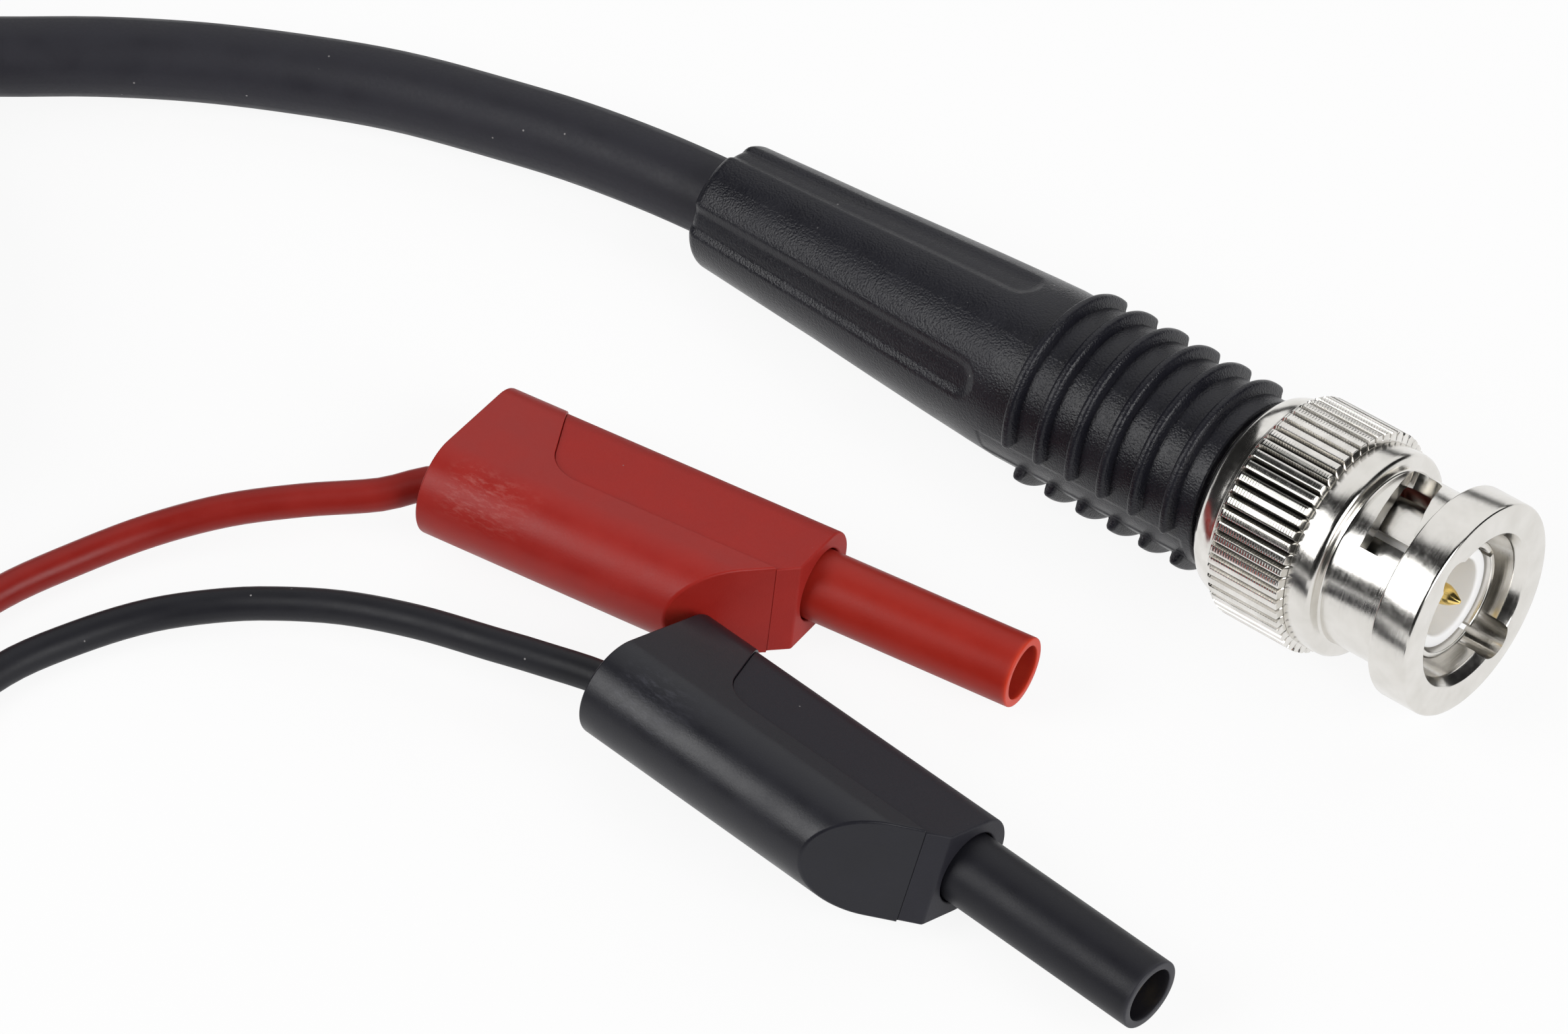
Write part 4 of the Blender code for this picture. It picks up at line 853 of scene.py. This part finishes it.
def centre_pin(place):
    outline = [
        *[(radius, -PIN_FRONT - back, corner) for radius, back, corner in PIN_POINT],
        (PIN_R, -CUP_FRONT, 0.05),
        (CUP_R, -CUP_FRONT, 0.05),
        (CUP_R, -CUP_REAR, 0.05),
        (CUP_BORE_R, -CUP_REAR, 0.0),
        (CUP_BORE_R, -CUP_FLOOR, 0.0),
        (0.0, -CUP_FLOOR, 0.0),
    ]
    made = turned("centre_pin", outline, steps=48, sharp=30)
    settle(made, place, "root", GOLD, ["centre_contact"])


def shorten(made):
    """Gives a spring its own copy of its mesh."""
    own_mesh(made)


def wave_spring(place):
    """The waved ring in the nut's chamber that presses the nut back."""
    swing = (WAVE_HEIGHT - WAVE_SHEET) / 2
    front = -WAVE_MIDDLE + WAVE_SHEET / 2
    rear = -WAVE_MIDDLE - WAVE_SHEET / 2
    corners = ((WAVE_INNER_R, front), (WAVE_OUTER_R, front), (WAVE_OUTER_R, rear), (WAVE_INNER_R, rear))
    made = lathe("wave_spring_ring", fillet([(*corner, WAVE_EDGE) for corner in corners]), steps=96)
    for vertex in made.data.vertices:
        turn = math.atan2(vertex.co.y, vertex.co.x)
        vertex.co.z += swing * MM * math.cos(WAVE_COUNT * turn)
    smooth(made, 40)
    settle(made, place, "root", STEEL, ["wave_spring"])
    shorten(made)


def smoothstep(low, high, value):
    t = min(1.0, max(0.0, (value - low) / (high - low)))
    return t * t * (3 - 2 * t)


def angle_from(degrees, centre):
    """Signed difference of two angles, from -180 to 180."""
    return (degrees - centre + 180) % 360 - 180


def rib_height(degrees, radius, depth):
    """Height of the broken ribs, which end in a round on each side of the smooth bands."""
    nearest = min(RIB_COUNT - 1, max(0, round((depth - RIB_FIRST) / RIB_PITCH)))
    across = abs(depth - (RIB_FIRST + RIB_PITCH * nearest))
    if across >= RIB_HALF:
        return 0.0
    off_band = abs((degrees - BAND_DEG + 90) % 180 - 90)
    past_end = max(0.0, math.radians(BAND_HALF_DEG - off_band) * radius)
    reach = math.hypot(across, past_end) / RIB_HALF
    if reach >= 1:
        return 0.0
    return RIB_RISE * math.sqrt(1 - reach**3)


def flute_depth(degrees, radius, depth):
    """Depth of the round-ended grooves that run out at the boot's rear."""
    half = math.radians(FLUTE_HALF_DEG) * radius
    deepest = 0.0
    for centre in FLUTE_DEG:
        across = math.radians(angle_from(degrees, centre)) * radius
        before_end = max(0.0, FLUTE_END + half - depth)
        away = math.hypot(across, before_end)
        deepest = max(deepest, FLUTE_DEPTH * smoothstep(0.0, FLUTE_WALL_SHARE * half, half - away))
    return deepest


def panel_depth(degrees, depth):
    """Depth of the bare panel between the rib ends."""
    inside_turn = min(degrees - PANEL_DEG[0], PANEL_DEG[1] - degrees)
    inside_depth = min(depth - PANEL_SPAN[0], PANEL_SPAN[1] - depth)
    return PANEL_DEPTH * smoothstep(0.0, PANEL_EDGE_DEG, inside_turn) * smoothstep(0.0, PANEL_EDGE, inside_depth)


def boot_relief(degrees, radius, height):
    depth = -height
    if radius < BOOT_STATIONS[-1][1] - BOOT_ROUND or depth <= BOOT_FRONT:
        return 0.0
    rise = rib_height(degrees, radius, depth)
    if min(abs(angle_from(degrees, centre)) for centre in PARTING_DEG) < PARTING_HALF_DEG:
        rise += PARTING_HEIGHT
    return rise - flute_depth(degrees, radius, depth) - panel_depth(degrees, depth)


def boot_line():
    """The boot's outer line from front to rear."""
    depths = [start + step * i for start, step, count in BOOT_SPACING for i in range(count)]
    line = []
    for depth in depths:
        for (near, near_r), (far, far_r) in zip(BOOT_STATIONS, BOOT_STATIONS[1:]):
            if near <= depth <= far:
                line.append((near_r + (far_r - near_r) * (depth - near) / (far - near), -depth))
                break
    return line


def boot(place):
    front_r = BOOT_STATIONS[0][1]
    rear_r = BOOT_STATIONS[-1][1]
    outline = [(BOOT_ROOM_R, -BOOT_FRONT), (front_r - BOOT_LIP, -BOOT_FRONT)]
    outline.append((front_r - BOOT_LIP_BEVEL, -BOOT_FRONT - BOOT_LIP_BEVEL))
    outline += boot_line()
    outline += arc(rear_r - BOOT_ROUND, -BOOT_REAR + BOOT_ROUND, BOOT_ROUND, 0, -90, steps=8)
    outline += [(radius, -depth) for radius, depth in BOOT_INSIDE]
    made = lathe("boot_skin", outline, BOOT_LINES, boot_relief)
    up = place.to_3x3().inverted() @ Vector((0.0, 0.0, 1.0))
    for vertex in made.data.vertices:
        vertex.co += up * max(0.0, -(place @ vertex.co).z)
    smooth(made, 60)
    settle(made, place, "root", BOOT, ["strain_relief_boot"])


# Safety plugs


def plug_place(hue):
    forward = Vector(JOINTS[hue + "_sleeve_slide"]["axis"])
    roll = math.radians(PLUGS[hue]["roll"])
    near = Vector((forward.y, -forward.x, 0.0))
    toward_lead = near * math.cos(roll) + Vector((0.0, 0.0, math.sin(roll)))
    return axes_at(toward_lead, forward.cross(toward_lead), forward, PLUGS[hue]["front"])


def stadium(inset, far_corner):
    """The body's section: flat top and bottom, round sides, and a squarer corner far above."""
    radius = PLUG_R - inset
    corner = far_corner - inset
    far = corner - radius
    near_side = arc(PLUG_OFFSET, 0.0, radius, -90, 90, 40)
    return near_side + arc(0.0, 0.0, radius, 90, 180, 20) + arc(far, far, corner, 180, 270, 20)


def seam_line(shrink):
    """The seam between nose and shell from the far side round to the front, as (across, along)."""
    lean = math.atan(NOSE_SLANT)
    right = NOSE_WIDTH - shrink
    back = shrink - NOSE_BACK
    turn_x = right - NOSE_CORNER
    turn_start = turn_x + NOSE_CORNER * math.sin(lean)
    turn_z = back + NOSE_SLANT * turn_start + NOSE_CORNER * math.cos(lean)
    far = 2 * PLUG_R
    corner = arc(turn_x, turn_z, NOSE_CORNER, math.degrees(lean) - 90, 0, 16)
    return [(-far, back - NOSE_SLANT * far), *corner, (right, far)]


def upright(name, loop, far):
    """A loop of (across, along) drawn out to both sides of the body's middle plane."""
    made = prism(name, loop, -far, far)
    made.data.transform(Matrix.Rotation(math.radians(90), 4, "X"))
    return made


def nose_region(shrink):
    """The block round the sleeve that the body's seam marks off."""
    far = 2 * PLUG_R
    return upright("nose_region", [(-far, far), *seam_line(shrink)], far)


def chamfer_block():
    """What the flat oblique face takes off the front corner."""
    far = PLUG_OFFSET + 2 * PLUG_R
    top = CHAMFER_SLOPE * PLUG_R
    loop = [(CHAMFER_START - PLUG_R, top), (far, top), (far, -CHAMFER_SLOPE * (far - CHAMFER_START))]
    return upright("chamfer_block", loop, far)


def on_seam(middle):
    """Whether an edge lies on the body's seam."""
    line = seam_line(0.0)
    for (ax, az), (bx, bz) in zip(line, line[1:]):
        start = Vector((ax, az))
        along = Vector((bx, bz)) - start
        here = Vector((middle.x, middle.z)) - start
        share = min(1.0, max(0.0, here.dot(along) / along.length_squared))
        if (here - along * share).length < SEAM_REACH:
            return True
    return False


def edge_share(middle):
    """How far an edge of a plug body is rounded: less on the seam, and not at all inside."""
    across = middle.x - min(PLUG_OFFSET, max(0.0, middle.x))
    depth = PLUG_R - math.hypot(across, middle.y)
    from_chamfer = abs(middle.z + CHAMFER_SLOPE * (middle.x - CHAMFER_START))
    from_end = min(abs(middle.z), abs(middle.z + PLUG_LENGTH))
    if min(depth, from_chamfer, from_end) > 2 * EDGE:
        return 0.0
    return SEAM_SHARE if on_seam(middle) else 1.0


def plug_bodies(hue, place):
    for name, inset in (("shell", 0.0), ("nose", NOSE_INSET)):
        section = stadium(inset, PLUGS[hue]["far_corner"])
        made = prism(f"{hue}_{name}_skin", section, 0.0, -PLUG_LENGTH)
        if name == "shell":
            carve(made, nose_region(0.0))
        else:
            carve(made, nose_region(SEAM), "INTERSECT")
        carve(made, chamfer_block())
        for room, (across, radius, front, rear) in PLUG_ROOMS.items():
            carve(made, prism(room, disc(across, radius), -front, -rear))
        carve(made, prism("link_room", LINK_ROOM, -LINK_ROOM_SPAN[0], -LINK_ROOM_SPAN[1]))
        round_edges(made, EDGE, edge_share)
        skin = PLUG_SKIN[hue] if name == "shell" else NOSE_SKIN[hue]
        settle(made, place, "root", skin, [f"{hue}_plug_{name}"])


def plug_sleeve(hue, place):
    outline = [
        (SLEEVE_BORE_R, SLEEVE_OUT, 0.1),
        (SLEEVE_OUT_R, SLEEVE_OUT, 0.14),
        (SLEEVE_OUT_R, -SLEEVE_IN + SLEEVE_COLLAR, 0.0),
        (SLEEVE_COLLAR_R, -SLEEVE_IN + SLEEVE_COLLAR, 0.0),
        (SLEEVE_COLLAR_R, -SLEEVE_IN, 0.0),
        (SLEEVE_BORE_R, -SLEEVE_IN, 0.0),
    ]
    made = turned(hue + "_sleeve_skin", outline, steps=96, sharp=40)
    settle(made, place, hue + "_sleeve", SLEEVE_SKIN[hue], [hue + "_shroud"])


def sleeve_spring(hue, place):
    """The coil spring behind the sleeve."""
    sides = SPRING_WIRE_SIDES
    steps = SPRING_TURN_STEPS * SPRING_TURNS
    rise = (SPRING_FRONT - SPRING_REAR) / (2 * math.pi * SPRING_TURNS)
    wire = disc(0.0, SPRING_WIRE_R, sides)
    vertices = []
    for i in range(steps + 1):
        turn = 2 * math.pi * SPRING_TURNS * i / steps
        out = Vector((math.cos(turn), math.sin(turn), 0.0))
        along = Vector((-SPRING_R * math.sin(turn), SPRING_R * math.cos(turn), rise)).normalized()
        middle = out * SPRING_R + Vector((0.0, 0.0, rise * turn - SPRING_FRONT))
        vertices += [middle + (out * x + along.cross(out) * y) for x, y in wire]
    faces = [tuple(range(sides)), tuple(range(steps * sides, (steps + 1) * sides))]
    for i in range(steps):
        here = i * sides
        there = here + sides
        for j in range(sides):
            k = (j + 1) % sides
            faces.append((here + j, here + k, there + k, there + j))
    made = new_object(hue + "_sleeve_coil", vertices, faces)
    smooth(made, 50)
    settle(made, place, "root", STEEL, [hue + "_shroud_spring"])
    shorten(made)


# Cords


def on_table(route):
    return [Vector(point) * MM - LAYOUT_CENTRE for point in route]


def polar(radius, degrees, height):
    turn = math.radians(degrees)
    return Vector((radius * math.cos(turn), radius * math.sin(turn), height))


def smooth_route(points, step):
    """Points at about the given step along a centripetal curve through the route's own points."""
    ends = [points[0] * 2 - points[1], *points, points[-1] * 2 - points[-2]]
    route = []
    for before, start, end, after in zip(ends, ends[1:], ends[2:], ends[3:]):
        knots = [0.0]
        for a, b in ((before, start), (start, end), (end, after)):
            knots.append(knots[-1] + math.sqrt((b - a).length))
        count = max(1, round((end - start).length / step))
        for i in range(count):
            t = knots[1] + (knots[2] - knots[1]) * i / count
            first = before.lerp(start, t / knots[1])
            second = start.lerp(end, (t - knots[1]) / (knots[2] - knots[1]))
            third = end.lerp(after, (t - knots[2]) / (knots[3] - knots[2]))
            low = first.lerp(second, t / knots[2])
            high = second.lerp(third, (t - knots[1]) / (knots[3] - knots[1]))
            route.append(low.lerp(high, (t - knots[1]) / (knots[2] - knots[1])))
    route.append(points[-1])
    return route


def coil_points():
    """The coil's centreline: in on the table, up a layer and out on top."""
    count = round(COIL_SWEEP_DEG / 360 * COIL_LOOP_POINTS)
    low = COAX_R + TIE_WALL + CORD_GAP
    points = []
    for i in range(count + 1):
        swept = COIL_SWEEP_DEG * i / count
        inward = min(swept, COIL_SWEEP_DEG - swept) / 360
        climb = smoothstep(-90, 90, swept - COIL_SWEEP_DEG / 2)
        radius = COIL_R - COIL_STEP * inward
        out = polar(radius, COIL_ENTRY_DEG + swept, low + COIL_STEP * climb)
        points.append(COIL_CENTRE + out)
    straight = 2 * COAX_R
    before = points[0] - polar(straight, COIL_ENTRY_DEG + 90, 0.0)
    after = points[-1] + polar(straight, COIL_ENTRY_DEG + COIL_SWEEP_DEG + 90, 0.0)
    return [before, *points, after]


def cord(name, points, radius, material, nodes):
    data = bpy.data.curves.new(name, "CURVE")
    data.dimensions = "3D"
    data.bevel_depth = radius
    data.bevel_resolution = 6
    data.use_fill_caps = True
    spline = data.splines.new("POLY")
    spline.points.add(len(points) - 1)
    for target, point in zip(spline.points, points):
        target.co = (*point, 1.0)
    spline.use_smooth = True
    made = bpy.data.objects.new(name, data)
    bpy.context.scene.collection.objects.link(made)
    settle(made, Matrix.Identity(4), "root", material, nodes)
    length = sum((b - a).length for a, b in zip(points, points[1:]))
    return made, length


def tie_band(spiral):
    """A flat woven band drawn round all the turns of the coil."""
    held = []
    for point in spiral:
        across = point - COIL_CENTRE
        if abs(angle_from(math.degrees(math.atan2(across.y, across.x)), TIE_DEG)) < TIE_REACH_DEG:
            held.append(across.xy.length)
    inner = math.sqrt(min(held) ** 2 - TIE_WIDTH**2 / 4) - COAX_R - CORD_GAP
    outer = max(held) + COAX_R + CORD_GAP
    half_x = (outer - inner) / 2
    half_y = (2 * COAX_R + COIL_STEP + 2 * CORD_GAP) / 2
    loops = []
    for grow in (TIE_WALL, 0.0):
        radius = COAX_R / 2 + grow
        loop = []
        for quarter, (sx, sy) in enumerate(((1, 1), (-1, 1), (-1, -1), (1, -1))):
            x = sx * (half_x + grow - radius) / MM
            y = sy * (half_y + grow - radius) / MM
            loop += arc(x, y, radius / MM, 90 * quarter, 90 * quarter + 90, steps=8)
        loops.append(loop)
    outside, inside = loops
    half = TIE_WIDTH / (2 * MM)
    count = len(outside)
    vertices = []
    for side in (-half, half):
        for loop in (outside, inside):
            vertices += [(x, side, y) for x, y in loop]
    faces = []
    for i in range(count):
        k = (i + 1) % count
        for a, b in ((0, 2), (3, 1), (1, 0), (2, 3)):
            faces.append((a * count + i, a * count + k, b * count + k, b * count + i))
    made = new_object("tie_band", vertices, faces)
    round_edges(made, TIE_EDGE)
    centre = COIL_CENTRE + Vector((0.0, 0.0, half_y + TIE_WALL))
    turn = Matrix.Rotation(math.radians(TIE_DEG), 4, "Z")
    place = Matrix.Translation(centre) @ turn @ Matrix.Translation(((inner + outer) / 2, 0.0, 0.0))
    return settle(made, place, "root", TIE, ["coil_tie"])


def splitter_place(end, heading):
    side = Vector((-heading.y, heading.x, 0.0))
    middle = end + heading * (SPLITTER_START + SPLITTER_HALF)
    return axes_at(heading, side, (0.0, 0.0, 1.0), (middle.x, middle.y, SPLITTER_HEIGHT / 2))


def cords(bayonet, plugs):
    spiral = coil_points()
    band = tie_band(spiral)
    inside = set_back(bayonet, JACKET_END)
    leave = set_back(bayonet, BOOT_REAR)
    entry = (spiral[0] - spiral[1]).normalized()
    approach = [inside, leave, *on_table(COAX_ROUTE), spiral[0] + entry * 2 * COAX_R, spiral[0]]
    heading = (spiral[-1] - spiral[-2]).normalized()
    block = splitter_place(spiral[-1], heading)
    port = block @ Vector((-SPLITTER_HALF, 0.0, 0.0))
    end = block @ Vector((SPLITTER_ENTRY - SPLITTER_HALF, 0.0, 0.0))
    tail = smooth_route([spiral[-1], spiral[-1] + heading * TAIL_STRAIGHT, port, end], FINE_STEP)
    points = smooth_route(approach, COAX_STEP)[:-1] + spiral[:-1] + tail
    nodes = ["coax_lead", "coax_coil", "coax_tail"]
    coax, length = cord("coax_cable", points, COAX_R, JACKET, nodes)
    for hue, side in (("red", 0.5), ("black", -0.5)):
        start = set_back(plugs[hue], LEAD_START, PLUG_OFFSET)
        out = set_back(plugs[hue], PLUG_LENGTH, PLUG_OFFSET)
        across = side * SPLICE_SPACING
        straight = block @ Vector((SPLITTER_HALF + LEAD_STRAIGHT, across, 0.0))
        port = block @ Vector((SPLITTER_HALF, across, 0.0))
        end = block @ Vector((SPLITTER_HALF - SPLITTER_ENTRY, across, 0.0))
        points = smooth_route([start, out, *on_table(LEAD_ROUTES[hue]), straight, port, end], FINE_STEP)
        lead, length = cord(hue + "_cord", points, LEAD_R, LEAD_SKIN[hue], [hue + "_lead"])


# Frame nodes, stage, light and camera


def paint_nodes():
    """Every frame node that still shows gets the material of its slot."""
    slots = {part["node"]: part["material_slot"] for part in frame["record"]["subparts"]}
    for name, node in frame["nodes"].items():
        node.data.materials.clear()
        node.data.materials.append(SLOT_MATERIALS[slots[name]])


def stage():
    corners = [(x * FLOOR_HALF, y * FLOOR_HALF, FLOOR_HEIGHT) for x, y in ((-1, -1), (1, -1), (1, 1), (-1, 1))]
    floor = new_object("floor", corners, [(0, 1, 2, 3)])
    material, tree, shader = new_material("white_table", Roughness=FLOOR_ROUGH)
    shader.inputs["Base Color"].default_value = colour(*FLOOR_WHITE)
    glow = add(tree, "Emission", {"Strength": 1.0}).outputs[0]
    path = add(tree, "LightPath").outputs
    seen = combine(tree, "MAXIMUM", path["Is Camera Ray"], path["Is Glossy Ray"])
    seen = combine(tree, "MAXIMUM", seen, path["Is Transmission Ray"])
    share = multiply(tree, seen, FLOOR_GLOW)
    mixed = add(tree, "MixShader", {0: share, 1: shader.outputs[0], 2: glow}).outputs[0]
    tree.links.new(mixed, tree.nodes["Material Output"].inputs["Surface"])
    floor.data.materials.append(material)


def aimed(name, data, azimuth, elevation, distance):
    """A lamp or camera that looks at the target from a bearing and a height in degrees."""
    bearing = math.radians(azimuth)
    up = math.radians(elevation)
    back = Vector((math.sin(bearing) * math.cos(up), -math.cos(bearing) * math.cos(up), math.sin(up)))
    made = bpy.data.objects.new(name, data)
    made.location = CAMERA_TARGET + back * distance
    made.rotation_euler = (-back).to_track_quat("-Z", "Y").to_euler()
    bpy.context.scene.collection.objects.link(made)
    return made


def lights():
    world = bpy.data.worlds.new("studio")
    bpy.context.scene.world = world
    world.use_nodes = True
    tree = world.node_tree
    coords = add(tree, "TexCoord").outputs["Generated"]
    level = spread(tree, axes(tree, coords)[2], *SKY_HEIGHTS, *SKY_LEVELS)
    tree.links.new(level, tree.nodes["Background"].inputs["Strength"])
    for name, (azimuth, elevation, size, power) in LAMPS.items():
        data = bpy.data.lights.new(name, "AREA")
        data.size = size
        data.energy = power
        aimed(name, data, CAMERA_AZIMUTH + azimuth, elevation, LAMP_DISTANCE)


def camera():
    data = bpy.data.cameras.new("camera")
    data.lens = CAMERA_LENS
    data.sensor_width = CAMERA_SENSOR
    data.sensor_fit = "HORIZONTAL"
    data.clip_start, data.clip_end = CAMERA_CLIP
    bpy.context.scene.camera = aimed("camera", data, CAMERA_AZIMUTH, CAMERA_ELEVATION, CAMERA_DISTANCE)


def main():
    paint_nodes()
    bayonet = bayonet_place()
    for make in (nut_front, nut_grip, contact_body, insulator, centre_pin, wave_spring, boot):
        make(bayonet)
    plugs = {hue: plug_place(hue) for hue in PLUGS}
    for hue, place in plugs.items():
        for make in (plug_bodies, plug_sleeve, sleeve_spring):
            make(hue, place)
    cords(bayonet, plugs)
    stage()
    lights()
    camera()
    bpy.context.scene.view_settings.view_transform = "Standard"


main()
